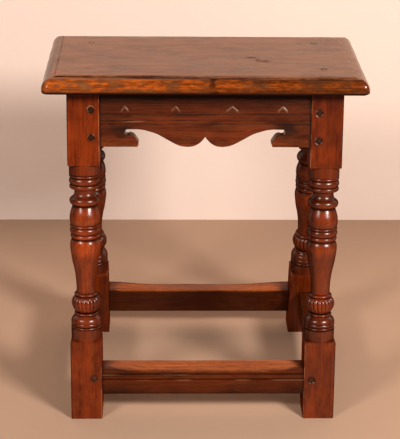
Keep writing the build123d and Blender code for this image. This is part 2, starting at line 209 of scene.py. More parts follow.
def arc(centre, radius, start, stop, count):
    """Return points on an arc between two angles in degrees."""
    angles = np.radians(np.linspace(start, stop, count))
    return np.array(centre) + radius * np.stack([np.cos(angles), np.sin(angles)], -1)


def grid(across, up):
    """Return the points of a flat grid."""
    return np.column_stack([part.ravel() for part in np.meshgrid(across, up)])


# ---- meshes -------------------------------------------------------------------------------

def grid_faces(rows, columns):
    """Return the quads between rows of points, each of which closes on itself."""
    index = np.arange(rows * columns).reshape(rows, columns)
    right = np.roll(index, -1, axis=1)
    return np.stack([index[:-1], right[:-1], right[1:], index[1:]], -1).reshape(-1, 4).tolist()


def cleaned(mesh, merging=False):
    """Merge a mesh's doubles if asked, drop its slivers and turn its faces outwards."""
    shell = bmesh.new()
    shell.from_mesh(mesh)
    if merging:
        bmesh.ops.remove_doubles(shell, verts=shell.verts, dist=MERGED * MM)
    bmesh.ops.dissolve_degenerate(shell, edges=shell.edges, dist=SLIVER * MM)
    bmesh.ops.recalc_face_normals(shell, faces=shell.faces)
    shell.to_mesh(mesh)
    shell.free()
    return mesh


def closed_mesh(name, points, faces):
    """Return a closed mesh from points in millimetres."""
    mesh = bpy.data.meshes.new(name)
    mesh.from_pydata((points * MM).tolist(), [], faces)
    return cleaned(mesh, merging=True)


def local_points(mesh):
    """Return the mesh's points in millimetres."""
    values = np.empty(len(mesh.vertices) * 3)
    mesh.vertices.foreach_get("co", values)
    return values.reshape(-1, 3) / MM


def store(mesh, name, values):
    """Keep a number or a vector at each point of the mesh for its finish to read."""
    values = np.asarray(values, float)
    vector = values.ndim == 2
    layer = mesh.attributes.new(name, "FLOAT_VECTOR" if vector else "FLOAT", "POINT")
    layer.data.foreach_set("vector" if vector else "value", values.ravel())


def store_marks(mesh, points, along, seed, tone=0, **marks):
    """Store where each point lies in its board, with the fibres along the first number.

    The marks go from 0 to 1: grime for grime and painted shade, rub for bare oak,
    scribe for pale cuts and painted glints, and dull for places with less polish.
    Tone goes both ways from 0, and an oak of tone -0.5 is half as bright; some pieces put painted
    shade in it.
    """
    order = [along] + [axis for axis in range(3) if axis != along]
    board = np.array([731.0, 57.0, 93.0]) * seed
    store(mesh, "grain", points[:, order] + board)
    for name in ("grime", "rub", "scribe", "dull"):
        store(mesh, name, np.clip(marks.get(name, 0) + np.zeros(len(points)), 0, 1))
    store(mesh, "tone", tone + np.zeros(len(points)))


def link(name, data):
    """Return a new object in the scene."""
    item = bpy.data.objects.new(name, data)
    bpy.context.scene.collection.objects.link(item)
    return item


def plain_mesh(carrier):
    """Return an object's mesh with its modifiers applied, and remove the object."""
    made = bpy.data.meshes.new_from_object(
        carrier.evaluated_get(bpy.context.evaluated_depsgraph_get())
    )
    bpy.data.objects.remove(carrier)
    return made


def make_piece(name, mesh, place, finish, nodes):
    """Place the mesh on the stool as the piece that stands for these nodes."""
    scaled = Matrix(place)
    scaled.translation *= MM
    mesh.transform(scaled)
    mesh.shade_smooth()
    mesh.set_sharp_from_angle(angle=SHARP)
    mesh.materials.clear()
    mesh.materials.append(finish)
    mesh.name = name
    piece = link(name, mesh)
    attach(piece, "root")
    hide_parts(*nodes)


def face_place(end, sizes):
    """Return the frame of the front or back face: X along the stool, Y inwards, Z up the legs."""
    front = Matrix.Translation((0, -sizes.frame_depth / 2, sizes.under_seat))
    turned = Matrix.Rotation(0 if end == "front" else pi, 4, "Z")
    return turned @ front @ Matrix.Rotation(-sizes.splay, 4, "X")


# ---- nodes --------------------------------------------------------------------------------

class Value:
    """One output of a node. Sums on values add Math nodes."""

    def __init__(self, nodes, node, socket):
        self.nodes, self.node, self.socket = nodes, node, socket

    def out(self, name):
        """Return another output of the same node."""
        return Value(self.nodes, self.node, self.node.outputs[name])

    def math(self, operation, *values):
        return self.nodes.add("ShaderNodeMath", {"operation": operation}, dict(enumerate(values)))

    def __add__(self, other):
        return self.math("ADD", self, other)

    def __sub__(self, other):
        return self.math("SUBTRACT", self, other)

    def __rsub__(self, other):
        return self.math("SUBTRACT", other, self)

    def __mul__(self, other):
        return self.math("MULTIPLY", self, other)

    def __truediv__(self, other):
        return self.math("DIVIDE", self, other)

    __radd__ = __add__
    __rmul__ = __mul__

    def apply(self, operation, *others):
        """Return a Math node's operation on this value."""
        return self.math(operation, self, *others)

    def smooth(self, low, high, start=0.0, stop=1.0):
        """Return a smooth step from start at low to stop at high."""
        return self.nodes.add(
            "ShaderNodeMapRange", {"interpolation_type": "SMOOTHSTEP"},
            {0: self, 1: low, 2: high, 3: start, 4: stop},
        )


class Nodes:
    """Adds nodes to a tree."""

    def __init__(self, tree):
        self.tree = tree

    def add(self, kind, options=None, inputs=None, output=0):
        """Add a node, set it up, fill its inputs and return one of its outputs."""
        node = self.tree.nodes.new(kind)
        for name, option in (options or {}).items():
            setattr(node, name, option)
        for key, value in (inputs or {}).items():
            self.feed(node.inputs[key], value)
        return Value(self, node, node.outputs[output] if node.outputs else None)

    def feed(self, socket, value):
        """Link a value to an input, or set the input to it."""
        if isinstance(value, Value):
            self.tree.links.new(value.socket, socket)
        else:
            socket.default_value = value

    def vector(self, operation, first, second):
        """Return Vector Math on two vectors."""
        return self.add("ShaderNodeVectorMath", {"operation": operation}, {0: first, 1: second})

    def scaled(self, vector, factor):
        return self.add("ShaderNodeVectorMath", {"operation": "SCALE"}, {0: vector, 3: factor})

    def joined(self, x=0.0, y=0.0, z=0.0):
        """Return a vector from its parts."""
        return self.add("ShaderNodeCombineXYZ", None, {0: x, 1: y, 2: z})

    def blend(self, factor, first, second):
        """Return a colour between two colours."""
        first, second = (
            value if isinstance(value, Value) else (*value, 1.0) for value in (first, second)
        )
        return self.add(
            "ShaderNodeMix", {"data_type": "RGBA"}, {0: factor, 6: first, 7: second}, output=2
        )

    def noise(self, vector, scale, detail=3.0, roughness=0.55, w=0.0):
        """Return noise over a vector that is first multiplied by a scale for each axis."""
        scaled = self.vector("MULTIPLY", vector, scale)
        return self.add(
            "ShaderNodeTexNoise", {"noise_dimensions": "4D"},
            {"Vector": scaled, "W": w, "Scale": 1.0, "Detail": detail, "Roughness": roughness},
        )

    def attribute(self, name, output="Fac"):
        return self.add("ShaderNodeAttribute", {"attribute_name": name}, output=output)

    def named(self, name, kind="FLOAT"):
        """Return a named attribute in Geometry Nodes."""
        return self.add("GeometryNodeInputNamedAttribute", {"data_type": kind}, {"Name": name})

    def moved(self, geometry, **change):
        return self.add("GeometryNodeSetPosition", None, {"Geometry": geometry, **change})

    def finish(self, geometry, material):
        """Realize the instances, give the geometry its material and put it out."""
        real = self.add("GeometryNodeRealizeInstances", None, {0: geometry})
        dressed = self.add("GeometryNodeSetMaterial", None, {0: real, "Material": material})
        self.add("NodeGroupOutput", None, {0: dressed})


def new_tree(name, inputs):
    """Return the nodes of a new Geometry Nodes tree, and its named inputs."""
    tree = bpy.data.node_groups.new(name, "GeometryNodeTree")
    for label, kind in inputs.items():
        tree.interface.new_socket(name=label, in_out="INPUT", socket_type="NodeSocket" + kind)
    tree.interface.new_socket(name="Mesh", in_out="OUTPUT", socket_type="NodeSocketGeometry")
    nodes = Nodes(tree)
    return nodes, nodes.add("NodeGroupInput")


def run_tree(tree, mesh, values):
    """Return the plain mesh that a Geometry Nodes tree makes from a mesh and its inputs."""
    carrier = link(tree.name, mesh)
    modifier = carrier.modifiers.new(tree.name, "NODES")
    modifier.node_group = tree
    for item in tree.interface.items_tree:
        if item.in_out == "INPUT" and item.name in values:
            modifier[item.identifier] = values[item.name]
    made = plain_mesh(carrier)
    if not made.polygons:
        raise RuntimeError(tree.name + " made no faces")
    return made


# ---- finishes -----------------------------------------------------------------------------

def new_finish(name, **constants):
    """Return a material, its nodes and its shader, with constants by input."""
    material = bpy.data.materials.new(name)
    material.use_nodes = True
    shader = material.node_tree.nodes["Principled BSDF"]
    for label, value in constants.items():
        shader.inputs[label.replace("_", " ")].default_value = value
    return material, Nodes(material.node_tree), shader


def plain_finish(name, shade):
    """A matt finish for the stage."""
    return new_finish(
        name, Base_Color=(*shade, 1.0), Roughness=0.9, Specular_IOR_Level=0.1
    )[0]


def darker(shade, factor):
    """Return a deeper and slightly redder shade."""
    return tuple(part * factor ** power for part, power in zip(shade, (1.0, 1.15, 1.2)))


# millimetres from a board's own axis to the tree's heart, between its rings and in their drift
HEART_ACROSS, HEART_DEEP, RING_WIDTH, RING_DRIFT = 60, 95, 4.1, 46
# the pale colour of cuts, also used for painted glints
PALE_CUT_AND_GLINT = (0.38, 0.20, 0.11)


def oak_finish(name, shade, rubbed, grime, gloss=0.30, polish=0.6, figure=1.0, mottle=1.0,
               flecks=0.5, rim=1.0, underlying=0.1, spread=0.26):
    """Waxed oak: fibres, pores, growth rings, patina, rubbed edges and grime, with the painted
    shade and glints that its marks carry.

    Polish is the wax's weight, spread its roughness and rim what is left of it at the outline.
    Gloss is the roughness of the wood below, and underlying its own reflection.
    """
    material, nodes, shader = new_finish(
        name, Specular_IOR_Level=underlying, Coat_Roughness=spread
    )
    grain = nodes.attribute("grain", "Vector")
    rub = nodes.attribute("rub")
    grime_and_shade_mask = nodes.attribute("grime")

    # growth rings that the saw has cut lengthways, then the fibres and pores between them
    drift = nodes.noise(grain, (0.006, 0.022, 0.022), 2.0)
    parts = nodes.add("ShaderNodeSeparateXYZ", None, {0: grain})
    across, deep = parts.out("Y") + HEART_ACROSS, parts.out("Z") + HEART_DEEP
    ring_distance = (across * across + deep * deep).apply("SQRT") + drift * RING_DRIFT
    ring = (ring_distance / RING_WIDTH).apply("FRACT")
    early = ring.smooth(0.0, 0.35) * ring.smooth(1.0, 0.6)
    streaks = nodes.noise(grain, (0.009, 0.40, 0.40), 5.0, 0.6)
    fibres = nodes.noise(grain, (0.060, 2.2, 2.2), 2.0, 0.6)
    patina = nodes.noise(grain, (0.016, 0.036, 0.036), 4.0, 0.6, 3.0)
    bands = nodes.noise(grain, (0.007, 0.085, 0.085), 3.0, 0.6, 5.0)
    ragged = nodes.noise(grain, (0.08, 0.25, 0.25), 4.0, 0.65, 7.0)
    amber = nodes.noise(grain, (0.045, 0.11, 0.11), 3.0, 0.6, 9.0)

    # the wood's own colour
    mixed = (
        0.5 + (streaks - 0.5) * (1.2 * figure) + (bands - 0.5) * (1.3 * figure)
        + (early - 0.5) * (0.16 * figure) + (patina - 0.5) * (1.2 * mottle)
    )
    wood = nodes.blend(mixed.smooth(0.0, 1.0), darker(shade, 0.42), darker(shade, 1.35))
    yellower = tuple(part * more for part, more in zip(shade, (1.05, 1.55, 1.6)))
    wood = nodes.blend(amber.smooth(0.42, 0.75) * 0.7, wood, yellower)
    # rubbed places, tone with its painted shade, pores, grime with painted shade, and pale cuts
    # with painted glints
    worn = (rub + (ragged - 0.5) * flecks + (patina - 0.5) * mottle) * rub.smooth(0.0, 0.2)
    mixed = streaks + (ragged - 0.5) * flecks
    bare = nodes.blend(mixed.smooth(0.25, 0.75), darker(rubbed, 0.4), darker(rubbed, 1.2))
    wood = nodes.blend(worn.smooth(0.2, 0.85), wood, bare)
    wood = nodes.scaled(wood, nodes.attribute("tone") + 1)
    pores = fibres.smooth(0.58, 0.72) * (0.25 + early * 0.3)
    wood = nodes.blend(pores, wood, grime)
    settled_grime_and_shade = (grime_and_shade_mask + (ragged - 0.5) * 0.7) * grime_and_shade_mask.smooth(0.0, 0.15)
    settled_grime_and_shade = settled_grime_and_shade.smooth(0.15, 0.85)
    wood = nodes.blend(settled_grime_and_shade, wood, grime)
    wood = nodes.blend(nodes.attribute("scribe"), wood, PALE_CUT_AND_GLINT)

    facing = nodes.add("ShaderNodeLayerWeight", output="Facing")
    coat = (1 - settled_grime_and_shade * 0.85) * (1 - nodes.attribute("dull")) * polish
    height = streaks * 0.5 + ragged * 0.35 - pores * 0.6
    for label, value in {
        "Base Color": wood,
        "Coat Weight": coat * facing.smooth(0.35, 0.7, 1.0, rim),
        "Roughness": (
            gloss + (ragged - 0.5) * 0.22 + (patina - 0.5) * 0.2 + settled_grime_and_shade * 0.2 + pores * 0.15
        ),
        "Normal": nodes.add(
            "ShaderNodeBump", None, {"Height": height, "Strength": 0.3, "Distance": 0.0004}
        ),
    }.items():
        nodes.feed(shader.inputs[label], value)
    return material


# ---- stage --------------------------------------------------------------------------------

class STOOL_OT_stage(bpy.types.Operator):
    """Set up the camera, the floor, the wall and the lamps"""

    bl_idname = "stool.stage"
    bl_label = "Stage"

    # the camera looks down on the stool's front from head height
    CAMERA_PLACE = (-60.079, -2037.457, 1143.501)
    YAW, PITCH, ROLL = 0.0278, 0.4061, 0.0124
    FOCAL_LENGTH = 1384.246 / 400  # as a share of the picture's width
    FLOOR_REACH = 9.0
    WALL_DISTANCE, WALL_HEIGHT = 0.62, 3.0
    LAMPS = {"right lamp": ((1.25, -1.5, 1.35), 55), "left lamp": ((-1.35, -1.5, 1.55), 28)}
    LAMP_SIZE, LAMP_COLOUR, LAMP_AIM = (0.60, 0.34), (1.0, 0.88, 0.78), (0, 0, 0.3)
    ROOM_COLOUR = (1.0, 0.84, 0.74, 1.0)

    def execute(self, context):
        scene, colours = context.scene, context.scene.stool_colours
        self.make_camera(scene)
        reach, back, high = self.FLOOR_REACH, self.WALL_DISTANCE, self.WALL_HEIGHT
        floor = self.make_sheet(
            "floor", plain_finish("plain floor", colours.floor),
            (-reach, -reach, 0), (reach, -reach, 0), (reach, reach, 0), (-reach, reach, 0),
        )
        wall = self.make_sheet(
            "wall", self.one_sided("plain wall", colours.wall),
            (-reach, back, 0), (reach, back, 0), (reach, back, high), (-reach, back, high),
        )
        wall.visible_shadow = False
        for name, (place, watts) in self.LAMPS.items():
            self.make_lamp(name, place, watts)
        self.make_world(scene)
        scene.view_settings.view_transform = "Standard"
        return {"FINISHED"}

    def make_camera(self, scene):
        yaw, pitch, roll = self.YAW, self.PITCH, self.ROLL
        ahead = Vector((sin(yaw) * cos(pitch), cos(yaw) * cos(pitch), -sin(pitch)))
        right = Vector((cos(yaw), -sin(yaw), 0))
        up = right.cross(ahead)
        right, up = cos(roll) * right + sin(roll) * up, cos(roll) * up - sin(roll) * right
        data = bpy.data.cameras.new("camera")
        data.sensor_fit = "HORIZONTAL"
        data.sensor_width = 36.0
        data.lens = self.FOCAL_LENGTH * data.sensor_width
        scene.camera = link("camera", data)
        scene.camera.matrix_world = Matrix.LocRotScale(
            Vector(self.CAMERA_PLACE) * MM,
            Matrix((right, up, -ahead)).transposed().to_quaternion(), None,
        )

    def make_sheet(self, name, material, *corners):
        mesh = bpy.data.meshes.new(name)
        mesh.from_pydata(corners, [], [(0, 1, 2, 3)])
        mesh.materials.append(material)
        return link(name, mesh)

    def one_sided(self, name, shade):
        """A matt finish that is clear from behind, so that the wall hides nothing."""
        material = plain_finish(name, shade)
        nodes = Nodes(material.node_tree)
        shader = material.node_tree.nodes["Principled BSDF"]
        behind = nodes.add("ShaderNodeNewGeometry", output="Backfacing")
        clear = nodes.add("ShaderNodeBsdfTransparent")
        both = nodes.add("ShaderNodeMixShader", None, {
            0: behind, 1: Value(nodes, shader, shader.outputs[0]), 2: clear,
        })
        nodes.feed(material.node_tree.nodes["Material Output"].inputs["Surface"], both)
        return material

    def make_lamp(self, name, place, watts):
        data = bpy.data.lights.new(name, "AREA")
        data.shape = "ELLIPSE"
        data.size, data.size_y = self.LAMP_SIZE
        data.energy = watts
        data.color = self.LAMP_COLOUR
        lamp = link(name, data)
        lamp.location = place
        aim = Vector(self.LAMP_AIM) - Vector(place)
        lamp.rotation_euler = aim.to_track_quat("-Z", "Y").to_euler()

    def make_world(self, scene):
        """A soft, slightly warm room light that comes mostly from the front."""
        scene.world = bpy.data.worlds.new("room")
        scene.world.use_nodes = True
        background = scene.world.node_tree.nodes["Background"]
        background.inputs["Color"].default_value = self.ROOM_COLOUR
        nodes = Nodes(scene.world.node_tree)
        towards = nodes.add("ShaderNodeTexCoord", output="Generated")
        ahead = nodes.add(
            "ShaderNodeVectorMath", {"operation": "DOT_PRODUCT"},
            {0: towards, 1: (0.0, -0.87, 0.5)}, output="Value",
        )
        nodes.feed(background.inputs["Strength"], ahead.smooth(0.0, 0.9, 0.05, 0.12))


# ---- seat ---------------------------------------------------------------------------------

class STOOL_OT_seat(bpy.types.Operator):
    """Make the seat board with its worn thumbnail moulding"""

    bl_idname = "stool.seat"
    bl_label = "Seat"

    # the worn mouths of the peg bores, as (x, y, radius)
    MOUTHS = ((-175, 68, 4), (173.5, 66, 4), (176, -70, 4), (-175, -69, 3.5))
    # the knots and the stain in the top, as (x, y, half width, half depth), and the knot in
    # the front edge, as (x, drop from the top, half width, half height)
    KNOTS = ((70, -11, 12, 5), (92, -30, 14, 6), (80, -21, 6, 9))
    STAIN = (-45, 5, 16, 5)
    EDGE_KNOT = (10, 13, 7, 11)
    HOLLOW = (0, 0, 170, 75)  # where sitters have worn the top most
    ARRIS_REACH = 24  # how far in from the edge the moulding's wear goes

    def execute(self, context):
        sizes, colours = settings(context)
        rings = np.array([self.ring(sizes, *level) for level in self.levels(sizes)])
        points = rings.reshape(-1, 3)
        self.weather(points, sizes)
        mesh = closed_mesh("seat", points, grid_faces(*rings.shape[:2]))
        self.mark(mesh, sizes)
        finish = oak_finish(
            "seat oak", colours.seat, colours.moulding, colours.grime, gloss=0.5, polish=0.72,
            figure=0.6, mottle=0.75, flecks=1.6, underlying=0.0, spread=0.17,
        )
        make_piece("seat", mesh, Matrix(), finish, ["seat_board"])
        return {"FINISHED"}

    def mark(self, mesh, sizes):
        points = local_points(mesh)
        x, y, z = points.T
        flat, drop = points[:, :2], sizes.seat_height - z
        setback, step = sizes.ledge_setback, sizes.ledge_step
        inset = self.inset(points, sizes)
        top = ramp(drop, step + 1.0, step + 0.2)
        patchy = wander(points, (30, 22, 22), 33) + 0.5 * wander(points, 7, 34)
        gap = sizes.half_seat - np.abs(flat)
        ends = ramp(gap[:, 1] - gap[:, 0], -2, 4)
        grime = near(inset, setback - 0.3, 2.4, 0.2) * (0.6 + 0.35 * patchy)
        # the dark band on the shelf lies a little further out towards the right
        shelf = near(inset, setback - 4 - 0.012 * (x + 200), 5.5, 1.5)
        grime = (grime + 0.62 * shelf * (0.95 + 0.3 * patchy)) * (1 - 0.6 * ends)
        # painted shade along the underside of the seat's edge
        grime += 0.9 * ramp(drop, 18, 22)
        pits = ramp(wander(points, (16, 8, 8), 31) + wander(points, (5, 3, 4), 32), 1.15, 1.5)
        grime += 0.5 * pits * ramp(inset, 20, 24)
        for across, along, radius in self.MOUTHS:
            away = np.linalg.norm(flat - (across, along), axis=1)
            grime += (0.85 + 0.4 * patchy) * near(away, radius, 2.2, 0.2) * top
        for spot in self.KNOTS:
            knot = oval(flat, *spot) + 0.4 * wander(points, (9, 5, 5), 38)
            grime += 0.62 * ramp(knot, 1.4, 0.2) * top
        grime += 0.4 * ramp(oval(flat, *self.STAIN), 1.2, 0.2) * top
        knot = oval(np.column_stack([x, drop]), *self.EDGE_KNOT) + 0.9 * wander(points, 5, 36)
        grime += 0.62 * ramp(knot, 1.3, 0.2) * (y < 0) * (1 - top)
        # the moulding is rubbed in patches and darkens to the right, and painted shade darkens it
        # downwards where it rounds under
        blotches = 0.5 * wander(points, (26, 20, 14), 33) + 0.6 * wander(points, (9, 7, 5), 37)
        rub = np.clip(0.66 + 0.6 * blotches, 0, 1) * (1 - 0.85 * ends)
        tone = -0.05 - 0.0019 * x - 0.9 * np.clip(0.75 - rub, 0, 1)
        tone -= 0.5 * ramp(drop, 12, 20) + 0.3 * ramp(x, -40, 110) * ramp(drop, 9, 4)
        tone = tone * (1 - ends) + (0.0005 * x - 0.1) * ends
        rub, tone = rub * (1 - top) * ramp(drop, 23, 17), np.maximum(tone, -0.62) * (1 - top)
        worn_front = patches(points, (45, 20, 20), 35, -0.1, 0.5) * (y < 0)
        rub += 0.75 * top * ramp(inset, setback + 11, setback + 1) * worn_front
        tone += top * (0.1 * ramp(y, 10, 90) + 0.12 * ramp(x, -90, -200))
        pale = 0.25 * near(inset, setback - 4, 2.5, 0.5) * ends * (0.6 + 0.4 * patchy)
        store_marks(
            mesh, points, 0, 1, tone, grime=grime, rub=rub, scribe=pale,
            dull=(1 - top) * (0.5 - 0.4 * ramp(gap.sum(axis=1), 40, 14)) * (1 - ends),
        )

    def levels(self, sizes):
        """Return (inset, height) from the underside's middle round to the top's middle."""
        top, under, setback = sizes.seat_height, sizes.under_seat, sizes.ledge_setback
        ledge, radius = top - sizes.ledge_step, sizes.thumb_radius
        middle = sizes.seat_depth / 2
        return np.concatenate([
            [(inset, under) for inset in np.linspace(middle, 3.5, 26)],
            arc((2.5, under + 2.5), 2.5, 270, 180, 6),
            arc((radius, ledge - radius), radius, 180, 90, 18),
            [(setback - 2.0, ledge), (setback - 1.1, ledge), (setback - 0.5, ledge + 0.15),
             (setback - 0.1, ledge + 0.9), (setback + 0.1, top - 0.5),
             (setback + 0.5, top - 0.15), (setback + 1.2, top)],
            [(inset, top) for inset in np.linspace(setback + 3, middle, 52)],
        ])

    def ring(self, sizes, inset, height):
        """Return a rounded rectangle's points, set in from the seat's edge."""
        half = sizes.half_seat - inset
        radius = min(max(10.0 - 0.75 * inset, 0.0), half[1])
        corners = [
            arc((half - radius) * signs, radius, 90 * turn - 90, 90 * turn, 9)
            for turn, signs in enumerate(((1, -1), (1, 1), (-1, 1), (-1, -1)))
        ]
        points = []
        for corner, after, count in zip(corners, corners[1:] + corners[:1], (110, 210) * 2):
            steps = np.linspace(0, 1, count)[1:-1, None]
            points += [corner, corner[-1] + steps * (after[0] - corner[-1])]
        flat = np.concatenate(points)
        return np.column_stack([flat, np.full(len(flat), height)])

    def inset(self, points, sizes):
        """Return how far each point lies inside the seat's edge."""
        return np.min(sizes.half_seat - np.abs(points[:, :2]), axis=1)

    def weather(self, points, sizes):
        """Give the board its hollows, bruises and worn arrises."""
        x, y, z = points.T
        flat, half, setback = points[:, :2], sizes.half_seat, sizes.ledge_setback
        inset = self.inset(points, sizes)
        inner = half - self.ARRIS_REACH
        outward = flat - np.clip(flat, -inner, inner)
        outward /= np.maximum(np.linalg.norm(outward, axis=1), 1e-6)[:, None]
        on_top = ramp(z, sizes.seat_height - 2.2, sizes.seat_height - 0.6)
        # the moulding's bruises and the ledge's waver
        bruise = 0.35 * (1 + wander(points, (24, 24, 14), 1)) + 0.2 * (1 + wander(points, 7, 2))
        at_edge = ramp(inset, self.ARRIS_REACH, self.ARRIS_REACH - 7)
        flat -= outward * (at_edge * bruise * (1 - on_top))[:, None]
        waver = 0.9 * wander(points, (38, 38, 60), 3) + 0.35 * wander(points, (9, 9, 60), 4)
        nearer = (2.0 + 0.007 * (x + 200)) * ramp(half[1] + y, 60, 24)
        y -= nearer * np.interp(inset, (0, setback, 60), (0, 1, 0))
        flat += outward * (near(inset, setback, 5, 0.5) * waver)[:, None]
        # the top's hollows
        hollow = 0.22 * (1 + wander(points, (90, 60, 60), 5)) + 0.07 * (1 + wander(points, 15, 6))
        hollow += 0.5 * ramp(oval(flat, *self.HOLLOW), 1.2, 0.0)
        z -= hollow * on_top
        z -= on_top * ramp(inset, setback + 7, setback) * 0.35 * (1 + wander(points, 30, 7))
        # a chip off the front right corner and rubbed corners elsewhere
        low = sizes.under_seat
        self.pare(points, (0.60, -0.62, -0.50), (half[0] - 3.4, 4 - half[1], low + 5))
        for right, back in ((-1, -1), (-1, 1), (1, 1)):
            through = (right * (half[0] - 4), back * (half[1] - 4), low + 9)
            self.pare(points, (0.6 * right, 0.6 * back, 0.5), through)

    def pare(self, points, normal, through):
        """Cut down to a slightly uneven plane whatever stands out beyond it."""
        normal = np.array(normal) / np.linalg.norm(normal)
        proud = (points - through) @ normal + 0.25 * wander(points, 5, 9)
        points -= np.maximum(proud, 0)[:, None] * normal


# ---- legs ---------------------------------------------------------------------------------

class Turner:
    """Draws a leg's outline downwards, as rows of (half width, height, square, slope, nulls)."""

    def __init__(self):
        self.rows = []
        self.height = 0.0

    def row(self, half, height, square=0.0, slope=0.0, nulls=0.0):
        self.rows.append((half, height, square, slope, nulls))
        self.height = height

    def block(self, half, start, stop, start_slope, stop_slope):
        """A square length. A slope of 1 lies level with the floor."""
        for part in np.linspace(0, 1, 44):
            slope = start_slope + (stop_slope - start_slope) * part
            self.row(half, start + (stop - start) * part, 1.0, slope)

    def plain(self, radius, length):
        top = self.height
        for part in np.linspace(0, 1, max(2, round(length / 2.2))):
            self.row(radius, top - length * part)

    def bead(self, length, radius, root, count, fullness=0.75):
        """A round standing up from its root radius between two quirks."""
        top = self.height
        for angle in np.linspace(0, pi, count):
            swell = sin(angle) ** (2 * fullness)
            self.row(root + (radius - root) * swell, top - length * (1 - cos(angle)) / 2)

    def curve(self, spacing, *points):
        """A smooth curve through (radius, distance below its top)."""
        top = self.height
        for radius, drop in smooth_line(points, spacing):
            self.row(radius, top - drop)

    def bulb(self, length, radius, root):
        """A bulb that the nulls are carved in. It is fullest near its top."""
        top = self.height
        for part in np.linspace(0, 1, 34):
            swell = sin(pi * part ** 0.78) ** 0.75
            low = root - 1.6 * part
            self.row(low + (radius - low) * swell, top - length * part, nulls=swell ** 0.4)


def leg_outline(sizes, drift):
    """Return the rows of a leg's outline from the seat down to the floor.

    The turner's eye set each leg's members a little lower or higher. Drift is how much lower the
    upper block's end, the barrel, the cap and the lower block's end sit.
    """
    half, radius = sizes.leg_block / 2, sizes.turning_radius
    root = radius - 2.3
    top = half * sizes.lean / sizes.rise
    floor = (half * sizes.lean - sizes.under_seat) / sizes.rise
    upper_block, lower_block, foot = 121.0, 122.5, 74.5  # the foot ends at the baluster
    upper_bottom, lower_top = top - upper_block, floor + lower_block
    turner = Turner()
    turner.row(0, top, 1.0)
    turner.block(half, top - 0.02, upper_bottom + 1.2, 1.0, 0.0)
    turner.row(half - 0.15, upper_bottom + 0.4, 1.0)
    turner.row(half - 0.7, upper_bottom, 1.0)
    # collar, reed, bead and disc
    turner.plain(radius, 16.3)
    turner.bead(4.4, radius, root, 8)
    turner.bead(10.6, radius + 0.2, root, 16)
    turner.curve(0.8, (root, 0), (radius - 0.8, 0.9), (radius - 0.1, 2.6), (radius - 0.4, 4.9),
                 (radius - 2.2, 6.8), (radius - 5.4, 7.6))
    # neck and torus
    turner.curve(1.0, (16.6, 0.1), (15.8, 3.4), (15.8, 5.2), (16.6, 8.6), (18.2, 11.0),
                 (18.9, 11.7))
    turner.bead(12.6, radius, 17.6, 18, 0.5)
    # barrel, then its reed, bead and ring
    turner.curve(1.4, (radius - 5.6, 0.3), (radius - 4.6, 1.3), (radius - 3.3, 4.8),
                 (radius - 2.0, 8.8), (radius - 0.9, 12.8), (radius - 0.2, 17.0),
                 (radius, 21.0), (radius - 0.4, 26.4), (radius - 1.4, 30.0))
    turner.curve(0.6, (root, 0), (root, 0.6))
    turner.bead(4.2, radius - 0.2, root, 8)
    turner.bead(10.2, radius, root, 16)
    turner.bead(7.4, radius - 0.7, 20.2, 12)
    # baluster
    length = turner.height - lower_top - foot
    turner.curve(1.8, (20.0, 0), (21.8, length * 0.035), (23.0, length * 0.075),
                 (radius, length * 0.13), (23.1, length * 0.20), (22.2, length * 0.28),
                 (20.4, length * 0.42), (18.2, length * 0.53), (16.4, length * 0.65),
                 (15.2, length * 0.78), (14.7, length * 0.92), (15.2, length))
    # cap, carved bulb, small bead and shoulder
    turner.bead(4.9, 18.2, 15.4, 9)
    turner.curve(0.6, (15.3, 0), (17.2, 0.6))
    turner.bulb(25.5, 22.4, 16.6)
    turner.bead(3.9, 18.7, 16.4, 8)
    turner.curve(1.0, (16.8, 0), (18.4, 2.0), (21.4, 4.6), (22.8, 7.4), (radius, 10.9))
    # foot members
    turner.bead(6.5, radius, root, 10)
    turner.bead(4.1, radius, root, 8)
    turner.plain(radius, turner.height - lower_top)
    turner.row(half - 0.7, lower_top, 1.0)
    turner.row(half - 0.15, lower_top - 0.4, 1.0)
    turner.block(half, lower_top - 1.2, floor + 0.02, 0.0, 1.0)
    turner.row(0, floor, 1.0)
    rows = np.array(turner.rows)
    stations = floor, lower_top - 1.2, lower_top + foot, upper_bottom - 80, upper_bottom + 1.2, 0
    rows[:, 1] -= np.interp(rows[:, 1], stations, (0, *drift[::-1], 0))
    return rows


